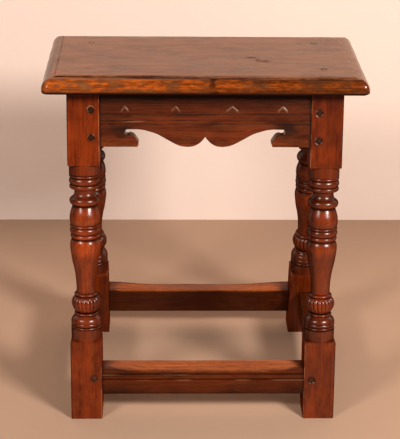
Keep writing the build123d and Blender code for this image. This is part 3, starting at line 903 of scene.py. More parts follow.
class STOOL_OT_legs(bpy.types.Operator):
    """Turn the four legs, with a carved bulb on each"""

    bl_idname = "stool.legs"
    bl_label = "Legs"

    # how far each leg's members sit below the others', and the tones of its
    # upper block, turning, lower block, foot members and bulb
    DRIFTS = ((-0.3, 0.3, -0.6, 0), (2.6, 4.2, 1.4, 0.4), (0.4, -0.6, 0.5, 0), (0.3, 0.8, -0.3, 0))
    # the back legs' darker turnings and lower blocks are painted shade
    TONES = (
        (-0.02, 0.14, -0.06, -0.33, -0.09), (-0.36, -0.32, -0.26, -0.08, 0.42),
        (0.0, -0.36, -0.15, -0.1, 0.1), (0.0, -0.36, -0.25, -0.1, 0.1),
    )
    # a bore with a worn mouth, as (height over the peg's head, more than the peg's radius)
    MOUTH = ((-2.6, 0.35), (-1.1, 0.6), (-0.55, 1.35), (1.5, 4.2))
    MOUTH_SIDES = 28
    SEGMENTS = 200
    QUIRK_REACH = 3.4  # half the length of the straight edge that quirks are found with
    # heights below the seat, as middles or limits, where the marks change
    MIDDLE, BALUSTER, TORUS, NECK, BULB, FOOT = -250, -242, -198, -166, -340, -362

    def execute(self, context):
        sizes, colours = settings(context)
        finish = oak_finish(
            "leg oak", colours.legs, colours.turnings, colours.grime, gloss=0.30,
            polish=1.0, figure=0.8, mottle=1.2, rim=0.05, underlying=0.0,
        )
        tree = self.make_tree()
        for seed, (end, side) in enumerate(CORNERS, start=1):
            # a leg's own +X looks outwards along the stool at two of the corners
            out = 1 if (end, side) in (("front", "right"), ("back", "left")) else -1
            across = out * (sizes.frame_width - sizes.leg_block) / 2
            place = face_place(end, sizes) @ Matrix.Translation((across, sizes.leg_block / 2, 0))
            corner = end + "_" + side
            outline = leg_outline(sizes, self.DRIFTS[seed - 1])
            blank = self.turn_leg(tree, outline, sizes, finish, seed)
            mesh, heads = self.bore(blank, place, corner, sizes)
            self.mark(mesh, outline, heads, out, sizes, seed)
            name = "turned_leg_" + corner
            make_piece(name, mesh, place, finish, [corner + "_leg"])
        return {"FINISHED"}

    def make_tree(self):
        """Geometry Nodes that turn an outline, square its blocks and carve its bulb."""
        nodes, given = new_tree("Turn a leg", {
            "Outline": "Geometry", "Segments": "Int", "Arris": "Float", "Arris Wear": "Float",
            "Nulls": "Int", "Null Depth": "Float", "Null Lean": "Float", "Splay": "Float",
            "Wobble": "Float", "Seed": "Float", "Finish": "Material",
        })
        outline, segments = given.out("Outline"), given.out("Segments")
        rows = nodes.add("GeometryNodeAttributeDomainSize", None, {0: outline})
        sheet = nodes.add(
            "GeometryNodeMeshGrid", None, {"Vertices X": segments + 1, "Vertices Y": rows}
        )
        index = nodes.add("GeometryNodeInputIndex")
        column = (index / rows + 0.0001).apply("FLOOR")
        row = index - column * rows

        def sample(name):
            return nodes.add(
                "GeometryNodeSampleIndex", {"data_type": "FLOAT"},
                {0: outline, 1: nodes.named(name), 2: row},
            )

        half, height, square = sample("half"), sample("height"), sample("square")
        even = column / segments * (2 * pi)
        angle = even + (even * 4).apply("SINE") * square * 0.215
        c, s = angle.apply("COSINE"), angle.apply("SINE")
        # square section with rounded arrises that wear unevenly
        reach = c.apply("ABSOLUTE").apply("MAXIMUM", s.apply("ABSOLUTE"))
        corner = nodes.joined(c.apply("SIGN") * 0.02, s.apply("SIGN") * 0.02, height)
        bite = nodes.noise(corner, (70, 70, 70), 3.0, 0.6, given.out("Seed"))
        arris = given.out("Arris") + given.out("Arris Wear") * bite.smooth(0.42, 0.85)
        arris = arris.apply("MINIMUM", half * 0.5)

        def squared(part):
            flat = part / reach * half
            inner = flat.apply("MINIMUM", half - arris).apply("MAXIMUM", arris - half)
            return inner, flat - inner

        inner_x, rest_x = squared(c)
        inner_y, rest_y = squared(s)
        rest = (rest_x * rest_x + rest_y * rest_y).apply("SQRT").apply("MAXIMUM", 0.000001)
        # round section, with the nulls' cuts
        spot = nodes.joined(c * 0.02, s * 0.02, height)
        wobble = nodes.noise(spot, (55, 55, 70), 3.0, 0.5, given.out("Seed"))
        phase = angle / (2 * pi) * given.out("Nulls") + height * given.out("Null Lean")
        lobe = (phase.apply("FRACT") * 2 - 1).apply("ABSOLUTE")
        cut = 1 - (1 - lobe * lobe).apply("MAXIMUM", 0.0).apply("SQRT")
        radius = half + (wobble - 0.5) * given.out("Wobble") * half.smooth(0.0, 0.005)
        radius = radius - cut * given.out("Null Depth") * sample("nulls")
        x = radius * c * (1 - square) + (inner_x + rest_x / rest * arris) * square
        y = radius * s * (1 - square) + (inner_y + rest_y / rest * arris) * square
        z = height + y * sample("slope") * given.out("Splay").apply("TANGENT")
        shaped = nodes.moved(sheet, Position=nodes.joined(x, y, z))
        whole = nodes.add("GeometryNodeMergeByDistance", None, {0: shaped, "Distance": 0.000004})
        nodes.finish(whole, given.out("Finish"))
        return nodes.tree

    def turn_leg(self, tree, outline, sizes, finish, seed):
        """Return a leg's mesh, upright on its own axis."""
        chain = bpy.data.meshes.new("leg outline")
        chain.from_pydata([(0, 0, 0)] * len(outline), [], [])
        columns = (outline * (MM, MM, 1, 1, 1)).T
        for name, values in zip(("half", "height", "square", "slope", "nulls"), columns):
            store(chain, name, values)
        return cleaned(run_tree(tree, chain, {
            "Segments": self.SEGMENTS, "Arris": sizes.arris * MM, "Arris Wear": 0.0022,
            "Nulls": sizes.null_count, "Null Depth": sizes.null_depth * MM, "Null Lean": 12.0,
            "Splay": sizes.splay, "Wobble": 0.0007, "Seed": seed * 4.7, "Finish": finish,
        }))

    def bore(self, blank, place, corner, sizes):
        """Return the leg with its peg bores' mouths, and each peg's head and axis."""
        shell, heads = bmesh.new(), []
        for name in PEG_NAMES:
            head, axis = peg_head(corner + "_peg_" + name, sizes)
            turn = axis.to_track_quat("Z", "Y").to_matrix().to_4x4()
            spot = place.inverted() @ Matrix.Translation(head) @ turn
            heads.append((np.array(spot.translation), np.array(spot.col[2][:3])))
            rings = []
            for rise, wider in self.MOUTH:
                circle = arc((0, 0), sizes.peg_radius + wider, 0, 360, self.MOUTH_SIDES + 1)[:-1]
                at = np.column_stack([circle, circle[:, 0]])
                circle *= 1 + 0.05 * wander(at, 3.0, len(name))[:, None]
                rings.append([shell.verts.new(spot @ Vector((*point, rise))) for point in circle])
            shell.faces.new(rings[0])
            shell.faces.new(rings[-1])
            for below, above in zip(rings, rings[1:]):
                for i in range(len(below)):
                    shell.faces.new((below[i - 1], below[i], above[i], above[i - 1]))
        bmesh.ops.recalc_face_normals(shell, faces=shell.faces)
        bmesh.ops.scale(shell, vec=(MM, MM, MM), verts=shell.verts)
        bores = bpy.data.meshes.new("bores")
        shell.to_mesh(bores)
        shell.free()
        cutter, body = link("bores", bores), link("leg blank", blank)
        cut = body.modifiers.new("bores", "BOOLEAN")
        cut.operation, cut.solver, cut.object = "DIFFERENCE", "EXACT", cutter
        bored = plain_mesh(body)
        bpy.data.objects.remove(cutter)
        return bored, heads

    def mark(self, mesh, outline, heads, out, sizes, seed):
        """Store the leg's grain, its grime and painted shade, and where it is rubbed."""
        points = local_points(mesh)
        x, y, z = points.T
        half, levels, square, _, nulls = outline[::-1].T
        quirk = np.interp(z, levels, self.quirks(levels, half))
        turned = ramp(np.interp(z, levels, square), 0.6, 0.4)
        blocks = 1 - turned
        above, under = (np.interp(z + step, levels, half) for step in (1.5, -1.5))
        radius = np.linalg.norm(points[:, :2], axis=1)
        # the quirks and the cuts between the nulls darken: old wax with painted shade
        grime = 0.8 * turned * ramp(quirk, 0.3, 1.8)
        cut = np.interp(z, levels, half) - radius
        grime += 0.7 * np.interp(z, levels, nulls) * ramp(cut, 0.7, 2.1)
        grime += 0.22 * ramp(wander(points, (16, 16, 50), seed) + wander(points, 6, 5), 0.5, 1.4)
        bulge = near(z, self.BALUSTER, 26, 8) + 0.7 * near(z, self.TORUS, 16, 6)
        rub = turned * ramp(quirk, 0.5, 0.0) * (0.15 + 0.35 * bulge)
        # worn inner arrises, dark outer ones and a painted shadow band under the seat
        diagonal = np.abs(x) + np.abs(y)
        inwards = x * out < 0
        rub += 0.55 * ramp(diagonal, 45.6, 47.2) * blocks * inwards
        grime += 0.8 * ramp(x * out, 22.0, 23.4) * ramp(-y, 20.5, 23.0) * blocks
        below = (y + sizes.leg_block / 2) * sizes.slope - z
        grime += 1.2 * ramp(below, 9, 3)
        scribe, settled_grime_and_shade, smudge = self.mouths(points, heads, seed)
        grime += settled_grime_and_shade
        # painted shade: each leg darkens from its outer face round to its sides and back, the
        # turnings most
        reach = radius * turned + np.abs(points[:, :2]).max(axis=1) * blocks
        outer = -y / np.maximum(reach, 1)
        upper, turning, lower, foot, bulb = self.TONES[seed - 1]
        blotches = wander(points, (10, 10, 24), seed + 20) + 0.6 * wander(points, (4, 4, 9), 27)
        front_left, front_right, back = seed == 1, seed == 2, seed > 2
        shade = 1 + 0.25 * bulge
        for change in (
            (np.where(z > self.MIDDLE, upper, lower) + 0.2 * blotches) * blocks,
            turning * turned,
            foot * turned * ramp(z, self.FOOT, self.FOOT - 12),
            bulb * turned * near(z, self.BULB, 24, 12),
            # painted shade fading down from under the seat
            -0.25 * ramp(below, 46, 18),
            -0.35 * smudge,
            -0.22 * turned * ramp(z, -162, -148) * front_left,
            # painted shade in the neck's hollow and on the turning's upward faces
            -0.35 * turned * near(z, self.NECK, 10, 7),
            -0.2 * turned * ramp((under - above) / 3, 0.1, 0.5),
            -0.12 * ramp(outer, 0.95, 0.1) - 0.15 * ramp(outer, 0.1, -0.8) * (1 - back),
            -(0.1 if back else 0.4) * turned * ramp(outer, 1.0, 0.6),
        ):
            shade = shade * (1 + change)
        # painted highlight: a broken pale line along each block's inner front arris
        split = ramp(diagonal, 46.2, 47.3) * blocks * inwards * (y < 0)
        scribe = scribe + 0.35 * split * patches(points, (5, 5, 9), seed + 11, -0.3, 0.4)
        store_marks(
            mesh, points, 2, seed + 1, shade - 1, grime=grime, rub=rub, scribe=scribe,
            dull=(0.2 if front_right else 0.4) * blocks + 0.25 * turned * back,
        )

    def quirks(self, levels, half):
        """Return how deep each row lies below a straight edge laid along the turning."""
        beside = np.abs(levels[:, None] - levels) < self.QUIRK_REACH
        filled = np.array([half[row].max() for row in beside])
        filled = np.array([filled[row].min() for row in beside])
        return filled - half

    def mouths(self, points, heads, seed):
        """Return the painted glints on the mouths' rims, the wax and the smudge round the mouths
        of the peg bores.
        """
        rim_glints, wax, smudge = np.zeros((3, len(points)))
        glinting = patches(points, 4, seed + 9, -0.4, 0.4)
        frayed = 0.9 * wander(points, 3, seed + 13)
        for spot, axis in heads:
            along = (points - spot) @ axis
            away = np.linalg.norm(points - spot - along[:, None] * axis, axis=1)
            close = np.abs(along) < 3
            # the upper mouths get a painted glint on the rim above the head, the lower ones only a
            # faint one, and they are closed with wax
            over = ramp(points[:, 2] - spot[2], -1.0, 3.0) if spot[2] > self.MIDDLE else 0.12
            rim_glints += 0.75 * near(away, 5.35, 0.5, 0.15) * over * glinting * close
            wax += ramp(away + frayed, 5.5, 4.3) * close
            smudge = np.maximum(smudge, ramp(away + frayed, 9.5, 5.0) * close)
        return rim_glints, wax, smudge


def peg_head(node, sizes):
    """Return the middle of a peg's head and the way that the peg looks out, from its node."""
    low, high = (np.array(corner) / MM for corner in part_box(node))
    centre, half = (low + high) / 2, (high - low) / 2
    if "short" in node:
        axis, reach = Vector((1 if centre[0] > 0 else -1, 0, 0)), half[0]
    elif "long" in node:
        axis = Vector((0, sizes.rise if centre[1] > 0 else -sizes.rise, sizes.lean))
        reach = (half[1] - sizes.peg_radius * sizes.lean) / sizes.rise
    else:
        axis, reach = Vector((0, 0, 1)), half[2]
    return Vector(centre) + axis * reach, axis


# ---- rails --------------------------------------------------------------------------------

SCRATCH_DROPS = (21.5, 39.0, 48.5, 53.5)  # the scratched lines' depths below the apron's top


class STOOL_OT_aprons(bpy.types.Operator):
    """Cut the shaped front and back aprons, with their scratched lines and chevrons"""

    bl_idname = "stool.aprons"
    bl_label = "Long aprons"

    # apex across the apron, spread of the legs, and how clearly each still shows
    CHEVRONS = ((-119, 5.5, 0.9), (-44, 6.5, 0.7), (40, 9.0, 0.9), (115, 7.5, 1.0))
    CHEVRON_TOP, CHEVRON_MIDDLE = -26.3, -30.5
    CHEVRON_FALL, CHEVRON_DEPTH = 7.0, 0.35
    # the dark patch at each end, as (distance from the middle, height, half width, half height)
    PATCH = (121, -65, 25, 15)

    def execute(self, context):
        sizes, colours = settings(context)
        finish = oak_finish(
            "apron oak", colours.aprons, darker(colours.rubbed, 0.7), colours.grime, gloss=0.36,
            polish=0.5,
        )
        for seed, end in enumerate(("front", "back"), start=11):
            mesh = self.make_board(sizes, seed)
            self.mark(mesh, sizes, seed)
            place = face_place(end, sizes)
            make_piece("apron_" + end, mesh, place, finish, [end + "_apron"])
        return {"FINISHED"}

    def outline(self, sizes):
        """Return the board's outline in its face, anticlockwise from the lower middle.

        A cusp in the middle is followed by an ogee to each side, which ends in a hooked beak.
        """
        high, half = sizes.apron_height, sizes.half_rail
        middle_top, tip, step = 26.6, (98.9, 6.5), 2.6
        cusp = smooth_line([(0, 15.0), (4.0, 10.0), (10.0, 4.6), (17.5, 1.0), (26.3, 0.0)], 1.2)
        ogee = smooth_line(
            [(26.3, 0), (36.0, 1.3), (46.0, 5.3), (57.0, 11.4), (71.5, 19.2), (86.0, 24.0),
             (94.0, 25.9), (101.0, middle_top)], 1.6,
        )
        hook = arc((114.9, middle_top - 4.6), 4.6, 90, -135, 22)
        beak = smooth_line([hook[-1], (108.2, 17.6), (105.5, 16.1), (102.0, 11.6), tip], 1.2)
        right = np.concatenate([
            cusp[:-1], ogee, hook[1:], beak[1:], [(99.3, 3.0), (100.5, 0.3), (101.5, 0.0)],
            [(x, 0.0) for x in np.arange(104, half, step)], [(half, 0.0)],
            [(half, z) for z in np.arange(step, high, step)],
            [(x, high) for x in np.arange(half, 0, -step)],
        ]) - (0, high)
        return np.concatenate([right, [(0.0, 0.0)], right[:0:-1] * (-1, 1)])

    def make_board(self, sizes, seed):
        """Return a board between its carved front and its plain back."""
        outline = self.outline(sizes)
        flat = np.concatenate([outline, self.inner_points(outline, sizes)])
        border = list(range(len(outline)))
        coords, _, faces, *_ = delaunay_2d_cdt([Vector(p) for p in flat], [], [border], 1, 1e-5)
        if len(coords) != len(flat):
            raise RuntimeError("the apron's outline crosses itself")
        flat = np.array([tuple(p) for p in coords])
        count = len(flat)
        gap = distance_to_outline(flat, flat[border])
        at = np.insert(flat, 1, 0, axis=1)
        arris = sizes.arris * (1 + 0.6 * wander(at, 14, seed))
        sink = np.clip(arris - gap, 0, arris)
        rounding = arris - np.sqrt(np.maximum(arris**2 - sink**2, 0))
        carved = self.scratches(flat, sizes) + self.chevron_cut(flat) * self.CHEVRON_DEPTH
        uneven = 0.12 * (1 + wander(at, (60, 20, 25), seed)) + 0.05 * wander(at, (20, 5, 6), seed)
        front = np.insert(flat, 1, FACE_DEPTH + rounding + carved + uneven, axis=1)
        back = np.insert(flat, 1, FACE_DEPTH + sizes.apron_thickness - rounding, axis=1)
        steps = np.linspace(0, 1, 9)[1:-1, None, None]
        walls = front[border] + steps * (back[border] - front[border])
        points = np.concatenate([front, back, walls.reshape(-1, 3)])
        starts = [0, *(2 * count + row * len(border) for row in range(len(steps))), count]
        all_faces = [list(face) for face in faces] + [[count + i for i in face] for face in faces]
        for first, second in zip(starts, starts[1:]):
            for i, j in zip(border, border[1:] + border[:1]):
                all_faces.append([first + i, first + j, second + j, second + i])
        # the top edge meets the level seat
        _, y, z = points.T
        z += np.where(z > -1, y * sizes.slope - 0.3, 0)
        return closed_mesh("apron", points, all_faces)

    def inner_points(self, outline, sizes):
        """Return points inside the outline, closer where the face has detail."""
        half, high = sizes.half_rail, sizes.apron_height
        plain = grid(np.arange(2 - half, half - 1, 3.0), np.arange(2 - high, -1, 2.2))
        fine = []
        for drop in SCRATCH_DROPS:
            lines = np.linspace(-0.6, 0.6, 9) * sizes.scratch_width - drop
            fine.append(grid(np.arange(1.5 - half, half - 1, 3.0), lines))
            plain = plain[np.abs(plain[:, 1] + drop) > sizes.scratch_width * 0.75]
        for apex, spread, _ in self.CHEVRONS:
            across = np.arange(apex - spread - 1, apex + spread + 1, 0.5)
            fine.append(grid(across, np.arange(-36, -25, 0.5)))
            beside, over = np.abs(plain - (apex, self.CHEVRON_MIDDLE)).T
            plain = plain[(beside >= spread + 1.3) | (over >= 6)]
        spots = np.concatenate([plain, *fine])
        spots = spots[distance_to_outline(spots, outline) > 1.9]
        rows = [spots[inside_outline(spots, outline)]]
        # rows that follow the outline, for its rounded arris
        ahead = np.roll(outline, -1, axis=0) - np.roll(outline, 1, axis=0)
        normal = np.column_stack([-ahead[:, 1], ahead[:, 0]])
        normal /= np.maximum(np.linalg.norm(normal, axis=1), 1e-9)[:, None]
        for step in (0.3, 0.7, 1.3):
            row = outline + normal * step
            row = row[distance_to_outline(row, outline) > step * 0.93]
            rows.append(row[inside_outline(row, outline)])
        return np.concatenate(rows)

    def scratches(self, flat, sizes):
        """Return how deep the scratched lines are at each point."""
        depth = np.zeros(len(flat))
        for drop in SCRATCH_DROPS:
            waver = 0.15 * np.sin(flat[:, 0] / 37 + drop)
            part = 2 * (flat[:, 1] + drop + waver) / sizes.scratch_width
            depth = np.maximum(depth, np.sqrt(np.clip(1 - part**2, 0, 1)))
        return depth * sizes.scratch_depth

    def chevron_cut(self, flat):
        """Return from 0 to 1 how much of a chevron's line lies at each point."""
        cut = np.zeros(len(flat))
        for apex, spread, clear in self.CHEVRONS:
            beside = np.abs(flat[:, 0] - apex)
            for lowered in (0.0, 2.1):
                line = self.CHEVRON_TOP - lowered - beside * self.CHEVRON_FALL / spread
                on_line = near(flat[:, 1], line, 0.75, 0.15) * (1 - 0.2 * lowered)
                cut = np.maximum(cut, on_line * (beside < spread) * clear)
        return cut

    def mark(self, mesh, sizes, seed):
        points = local_points(mesh)
        x, y, z = points.T
        flat, face, beside = points[:, [0, 2]], y < 5, np.abs(x)
        lines = self.scratches(flat, sizes) / sizes.scratch_depth
        grime = lines * face * (0.45 + 0.3 * wander(points, (34, 20, 5), seed + 6))
        # painted shadow along the top of the face, under the seat
        grime += 0.8 * ramp(z, -20, -11) * face
        grime += 0.7 * ramp(beside, sizes.half_rail - 7, sizes.half_rail)
        grime += 0.3 * patches(points, (40, 9, 9), seed + 3, 0.1, 0.8)
        patch = oval(np.column_stack([beside, z]), *self.PATCH)
        patch += 0.5 * wander(points, (14, 9, 6), seed + 8)
        grime += 0.6 * ramp(patch, 1.2, 0.3) * face
        # the field above the cut-outs and the band between the lines are rubbed
        band = near(z, -29, 6.5, 3) + 0.6 * near(z, -60, 14, 4)
        rub = 0.4 * band * face * (0.6 + 0.4 * wander(points, (50, 10, 10), seed + 5))
        rub += 0.45 * ramp(y, 3.6, 2.6) * ramp(z, -60, -84)
        # painted shade on the back face and on the front face's upper part under the seat
        tone = -0.4 * (y > 20) - 0.5 * ramp(z, -50, -20) * face
        tone -= 0.2 * ramp(beside, 90, 150) * ramp(z, -20, -50) * face
        # painted glints along the lower edges of some scratched lines
        lit = sum(near(z, -drop - 1.0, 0.5, 0.1) for drop in SCRATCH_DROPS[2:])
        lit = lit * patches(points, (26, 20, 3), seed + 7, 0.1, 0.6) * 0.5
        store_marks(
            mesh, points, 0, seed, tone, grime=grime, rub=rub, dull=0.9 * (y > 3.5),
            scribe=np.maximum(self.chevron_cut(flat) * 0.6, lit) * face,
        )


def distance_to_outline(points, outline):
    """Return each point's distance to a closed outline."""
    best = np.full(len(points), np.inf)
    for start, along in zip(outline, np.roll(outline, -1, axis=0) - outline):
        reach = along @ along
        part = np.clip((points - start) @ along / reach, 0, 1) if reach else 0 * points[:, 0]
        away = points - start - part[:, None] * along
        best = np.minimum(best, np.sum(away ** 2, axis=1))
    return np.sqrt(best)


def inside_outline(points, outline):
    """Return which points lie inside a closed outline."""
    x, y = points.T
    inside = np.zeros(len(points), bool)
    for (x0, y0), (x1, y1) in zip(outline, np.roll(outline, -1, axis=0)):
        if y0 != y1:
            crosses = (y0 > y) != (y1 > y)
            inside ^= crosses & (x < (x1 - x0) * (y - y0) / (y1 - y0) + x0)
    return inside


def rail_section(sizes, thickness, low, high, drops):
    """Return a rail's section as (depth, height): down its face, under it and up its back."""
    arris, width = sizes.arris * 0.9, sizes.scratch_width
    front, back = FACE_DEPTH + arris, FACE_DEPTH + thickness - arris
    lower, upper = low + arris, high - arris
    heights = [h for drop in drops for h in high - drop + np.linspace(0.6, -0.6, 9) * width]
    heights += [
        h for h in np.arange(upper - 1.5, lower + 1, -2.4)
        if all(abs(h - high + drop) > width * 0.8 for drop in drops)
    ]
    face = []
    for height in sorted(heights, reverse=True):
        part = [2 * (height - high + drop) / width for drop in drops]
        cut = max(max(0, 1 - p * p) ** 0.5 for p in part)
        face.append((FACE_DEPTH + cut * sizes.scratch_depth, height))
    return np.concatenate([
        arc((front, upper), arris, 90, 180, 5), face, arc((front, lower), arris, 180, 270, 5),
        [(d, low) for d in np.linspace(front, back, 10)[1:-1]],
        arc((back, lower), arris, 270, 360, 5),
        [(back + arris, h) for h in np.linspace(lower, upper, 14)[1:-1]],
        arc((back, upper), arris, 0, 90, 5),
        [(d, high) for d in np.linspace(back, front, 13)[1:-1]],
    ])


def sweep(section, stations):
    """Return a bar's points, one section to each station along X, and its faces with ends."""
    rows, count = len(stations), len(section)
    points = np.column_stack([np.repeat(stations, count), np.tile(section, (rows, 1))])
    ends = [[start + i for i in range(count)] for start in (0, (rows - 1) * count)]
    return points, grid_faces(rows, count) + ends


def side_rails(kind, sizes, section, finish, first_seed):
    """Make the rails between the front and the back legs, one to each side."""
    depth = sizes.leg_block / sizes.rise

    def reach(points):
        return sizes.frame_depth / 2 - depth - points[:, 2] * sizes.slope

    for seed, (side, out) in enumerate((("left", -1), ("right", 1)), start=first_seed):
        name = kind + "_" + side
        points, faces = sweep(section, np.linspace(-1, 1, 60))
        points[:, 0] *= reach(points)
        points[:, 1] += 0.12 * wander(points, (40, 12, 16), seed)
        mesh = closed_mesh(name, points, faces)
        points = local_points(mesh)
        x, y, z = points.T
        high = section[:, 1].max()
        grime = 0.7 * ramp(reach(points) - np.abs(x), 7, 0)
        grime += 0.7 * ramp(y, 2.2, 2.7) * (y < 4) * (z < high - 3)
        if high > -1:  # a rail that meets the seat
            # painted shadow under the seat
            grime += ramp(z, -15, -5)
        rub = 0.3 * patches(points, (50, 14, 14), seed + 4, 0.0, 0.8)
        # painted shade on the inner face
        tone = -0.4 * (y > section[:, 0].mean())
        store_marks(mesh, points, 0, seed, tone, grime=grime, rub=rub)
        middle = Matrix.Translation((out * sizes.frame_width / 2, 0, sizes.under_seat))
        place = middle @ Matrix.Rotation(out * pi / 2, 4, "Z")
        make_piece(name, mesh, place, finish, [side + "_" + kind])


class STOOL_OT_side_aprons(bpy.types.Operator):
    """Make the plain aprons at the sides"""

    bl_idname = "stool.side_aprons"
    bl_label = "Side aprons"

    def execute(self, context):
        sizes, _ = settings(context)
        low = -sizes.apron_height * sizes.rise
        drops = [drop * sizes.rise for drop in SCRATCH_DROPS]
        section = rail_section(sizes, sizes.apron_thickness, low, 0.0, drops)
        side_rails("apron", sizes, section, bpy.data.materials["apron oak"], 21)
        return {"FINISHED"}


class STOOL_OT_stretchers(bpy.types.Operator):
    """Make the four stretchers, the long ones worn hollow by feet"""

    bl_idname = "stool.stretchers"
    bl_label = "Stretchers"

    GROOVES = (12.5, 21.0)  # the scratched lines' depths below the top
    # how deep the front edge is worn at the legs, how much deeper between them, and how far
    # from a leg that is reached
    WORN, MORE_WORN, WEAR_REACH = 2.4, 4.3, 75

    def execute(self, context):
        sizes, colours = settings(context)
        finish = oak_finish(
            "stretcher oak", colours.stretchers, colours.rubbed, colours.grime, gloss=0.45,
            polish=0.4, underlying=0.0, spread=0.2,
        )
        half, thickness = sizes.half_rail, sizes.stretcher_thickness
        base = sizes.stretcher_clear - sizes.under_seat
        low = (base + FACE_DEPTH * sizes.lean) / sizes.rise
        high = low + sizes.stretcher_height
        section = rail_section(sizes, thickness, low, high, self.GROOVES)
        for seed, end in enumerate(("front", "back"), start=31):
            points, faces = sweep(section, np.linspace(-half, half, 150))
            self.wear(points, high, half, seed)
            mesh = closed_mesh("stretcher", points, faces)
            self.mark(mesh, high, half, seed)
            name, place = "stretcher_" + end, face_place(end, sizes)
            make_piece(name, mesh, place, finish, [end + "_stretcher"])
        drops = [drop * sizes.rise for drop in self.GROOVES]
        high = base + sizes.stretcher_height * sizes.rise
        section = rail_section(sizes, thickness, base, high, drops)
        side_rails("stretcher", sizes, section, finish, 41)
        return {"FINISHED"}

    def worn_height(self, points, high, half, seed):
        """Return the height of the worn top above each point of a long stretcher."""
        x, y, _ = points.T
        ends = ramp(half - np.abs(x), 0, self.WEAR_REACH)
        uneven = 1 + 0.12 * wander(points * (1, 0, 0), (55, 1, 1), seed)
        dished = np.clip((32 - y) / 30, 0, 1) ** 1.15 * uneven
        ripple = 0.35 * wander(points, (22, 12, 200), seed + 1)
        ripple += 0.15 * wander(points, (8, 5, 200), seed)
        worn = self.WORN + self.MORE_WORN * ends
        return high - dished * worn - (0.6 + ripple) * ends - 0.2

    def wear(self, points, high, half, seed):
        """Lower the top to where feet have worn it."""
        points[:, 2] = np.minimum(points[:, 2], self.worn_height(points, high, half, seed))
        points[:, 1] += 0.12 * wander(points, (60, 12, 16), seed) * (points[:, 1] < 5)

    def mark(self, mesh, high, half, seed):
        points = local_points(mesh)
        x, y, z = points.T
        drop, over = high - z, z - self.worn_height(points, high, half, seed)
        on_top, face = ramp(over, -1.6, -0.3), y < 5
        gap = half - np.abs(x)
        ends = ramp(gap, 2, 34)
        grime = 0.7 * ramp(y, 2.25, 2.7) * face * (over < -1.5)
        grime += 0.6 * ramp(gap, 6, 0)
        grime += 0.45 * ramp(drop, 36, 45) * face
        grime += 0.3 * patches(points, (45, 9, 9), seed + 3, 0.2, 0.8) * (1 - on_top)
        worn_over = on_top * ramp(y, 9, 4)
        rub = on_top * (0.3 + 0.7 * ends) + 0.2 * ramp(over, -14, -2) * ends - 0.5 * worn_over
        # painted shade on the back face
        tone = -0.5 * ramp(y, 29, 31) * (1 - on_top) - 0.35 * worn_over
        tone -= 0.3 * ramp(drop, 20, 42) * face
        to_legs = ramp(np.abs(x - 15), 80, 150)
        tone -= (0.12 + 0.25 * to_legs) * face * (1 - on_top)
        # painted glints along the lower edges of the scratched lines
        lit = sum(near(drop, groove + 1.1, 0.5, 0.1) for groove in self.GROOVES)
        lit = lit * face * patches(points, (30, 20, 3), seed + 7, 0.15, 0.6) * 0.45
        store_marks(mesh, points, 0, seed, tone, grime=grime, rub=rub, scribe=lit)


# ---- pegs ---------------------------------------------------------------------------------

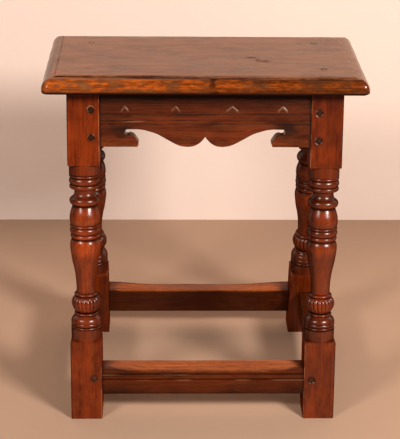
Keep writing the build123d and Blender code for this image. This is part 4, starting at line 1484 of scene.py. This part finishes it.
class STOOL_OT_pegs(bpy.types.Operator):
    """Drive the whittled pegs into every joint"""

    bl_idname = "stool.pegs"
    bl_label = "Pegs"

    SUNK, SUNK_IN_SEAT = 1.2, 0.7  # how far the pegs' heads lie below the solids'
    TILT = 0.08

    def execute(self, context):
        sizes, colours = settings(context)
        finish = oak_finish(
            "peg oak", colours.pegs, colours.aprons, colours.grime, gloss=0.5, polish=0.1
        )
        corners = [end + "_" + side + "_peg_" for end, side in CORNERS]
        nodes = [corner + name for corner in corners for name in (*PEG_NAMES, "seat")]
        mesh = run_tree(self.make_tree(), self.places(nodes, sizes), {
            "Radius": sizes.peg_radius * MM, "Length": 0.007, "Whittling": 0.0009,
            "Seed": 2.5, "Finish": finish,
        })
        points = local_points(mesh)
        low = ramp(points[:, 2], 300, 100)
        grime = (0.35 + 0.3 * wander(points, 3, 6)) * (1 - 0.5 * low)
        store_marks(mesh, points, 0, 5, 1.1 * low, grime=grime)
        make_piece("pegs", mesh, Matrix(), finish, nodes)
        return {"FINISHED"}

    def places(self, nodes, sizes):
        """Return a mesh with a point at each peg's head and the turn that the peg has."""
        spots, turns = [], []
        for count, node in enumerate(nodes):
            head, axis = peg_head(node, sizes)
            sunk = self.SUNK_IN_SEAT if node.endswith("seat") else self.SUNK
            spin = Matrix.Rotation(count * 1.3, 3, axis)
            tilt = (spin @ axis.orthogonal()).normalized() * self.TILT
            spots.append(tuple((head - axis * sunk) * MM))
            turns.append(tuple((axis + tilt).to_track_quat("Z", "Y").to_euler()))
        mesh = bpy.data.meshes.new("peg places")
        mesh.from_pydata(spots, [], [])
        store(mesh, "turn", turns)
        return mesh

    def make_tree(self):
        """Geometry Nodes that set a whittled peg at each point."""
        nodes, given = new_tree("Drive pegs", {
            "Places": "Geometry", "Radius": "Float", "Length": "Float", "Whittling": "Float",
            "Seed": "Float", "Finish": "Material",
        })
        rod = nodes.add("GeometryNodeMeshCylinder", None, {
            "Vertices": 18, "Side Segments": 5, "Fill Segments": 4,
            "Radius": given.out("Radius"), "Depth": given.out("Length"),
        })
        where = nodes.add("GeometryNodeInputPosition")
        parts = nodes.add("ShaderNodeSeparateXYZ", None, {0: where})
        x, y, z = parts.out("X"), parts.out("Y"), parts.out("Z")
        centred = (x * x + y * y).apply("SQRT") / given.out("Radius")
        dome = (1 - centred * centred * centred * 0.9) * 0.0003 * z.smooth(0.003, 0.0035)
        lowered = nodes.joined(z=dome - given.out("Length") * 0.5 - 0.0003)
        many = nodes.add("GeometryNodeInstanceOnPoints", None, {
            "Points": given.out("Places"), "Instance": nodes.moved(rod, Offset=lowered),
            "Rotation": nodes.named("turn", "FLOAT_VECTOR"),
        })
        real = nodes.add("GeometryNodeRealizeInstances", None, {0: many})
        rough = nodes.add(
            "ShaderNodeTexNoise", {"noise_dimensions": "4D"},
            {"Vector": where, "W": given.out("Seed"), "Scale": 260.0, "Detail": 2.0},
            output="Color",
        )
        centre = nodes.vector("SUBTRACT", rough, (0.5, 0.5, 0.5))
        whittled = nodes.moved(real, Offset=nodes.scaled(centre, given.out("Whittling")))
        nodes.finish(whittled, given.out("Finish"))
        return nodes.tree


# ---- add-on -------------------------------------------------------------------------------

OPERATORS = (
    STOOL_OT_stage, STOOL_OT_seat, STOOL_OT_legs, STOOL_OT_aprons, STOOL_OT_side_aprons,
    STOOL_OT_stretchers, STOOL_OT_pegs,
)


class STOOL_PT_pieces(bpy.types.Panel):
    """Lists the stool's pieces and settings"""

    bl_idname = "STOOL_PT_pieces"
    bl_label = "Joint stool"
    bl_space_type = "VIEW_3D"
    bl_region_type = "UI"
    bl_category = "Stool"

    def draw(self, context):
        for operator in OPERATORS:
            self.layout.operator(operator.bl_idname)
        for group in (context.scene.stool_sizes, context.scene.stool_colours):
            box = self.layout.box()
            for name in type(group).__annotations__:
                box.prop(group, name)


CLASSES = (StoolSizes, StoolColours, *OPERATORS, STOOL_PT_pieces)


def register():
    for item in CLASSES:
        bpy.utils.register_class(item)
    bpy.types.Scene.stool_sizes = PointerProperty(type=StoolSizes)
    bpy.types.Scene.stool_colours = PointerProperty(type=StoolColours)


def unregister():
    del bpy.types.Scene.stool_sizes
    del bpy.types.Scene.stool_colours
    for item in reversed(CLASSES):
        bpy.utils.unregister_class(item)


def main():
    register()
    for operator in OPERATORS:
        group, name = operator.bl_idname.split(".")
        getattr(getattr(bpy.ops, group), name)()


if __name__ == "__main__":
    main()
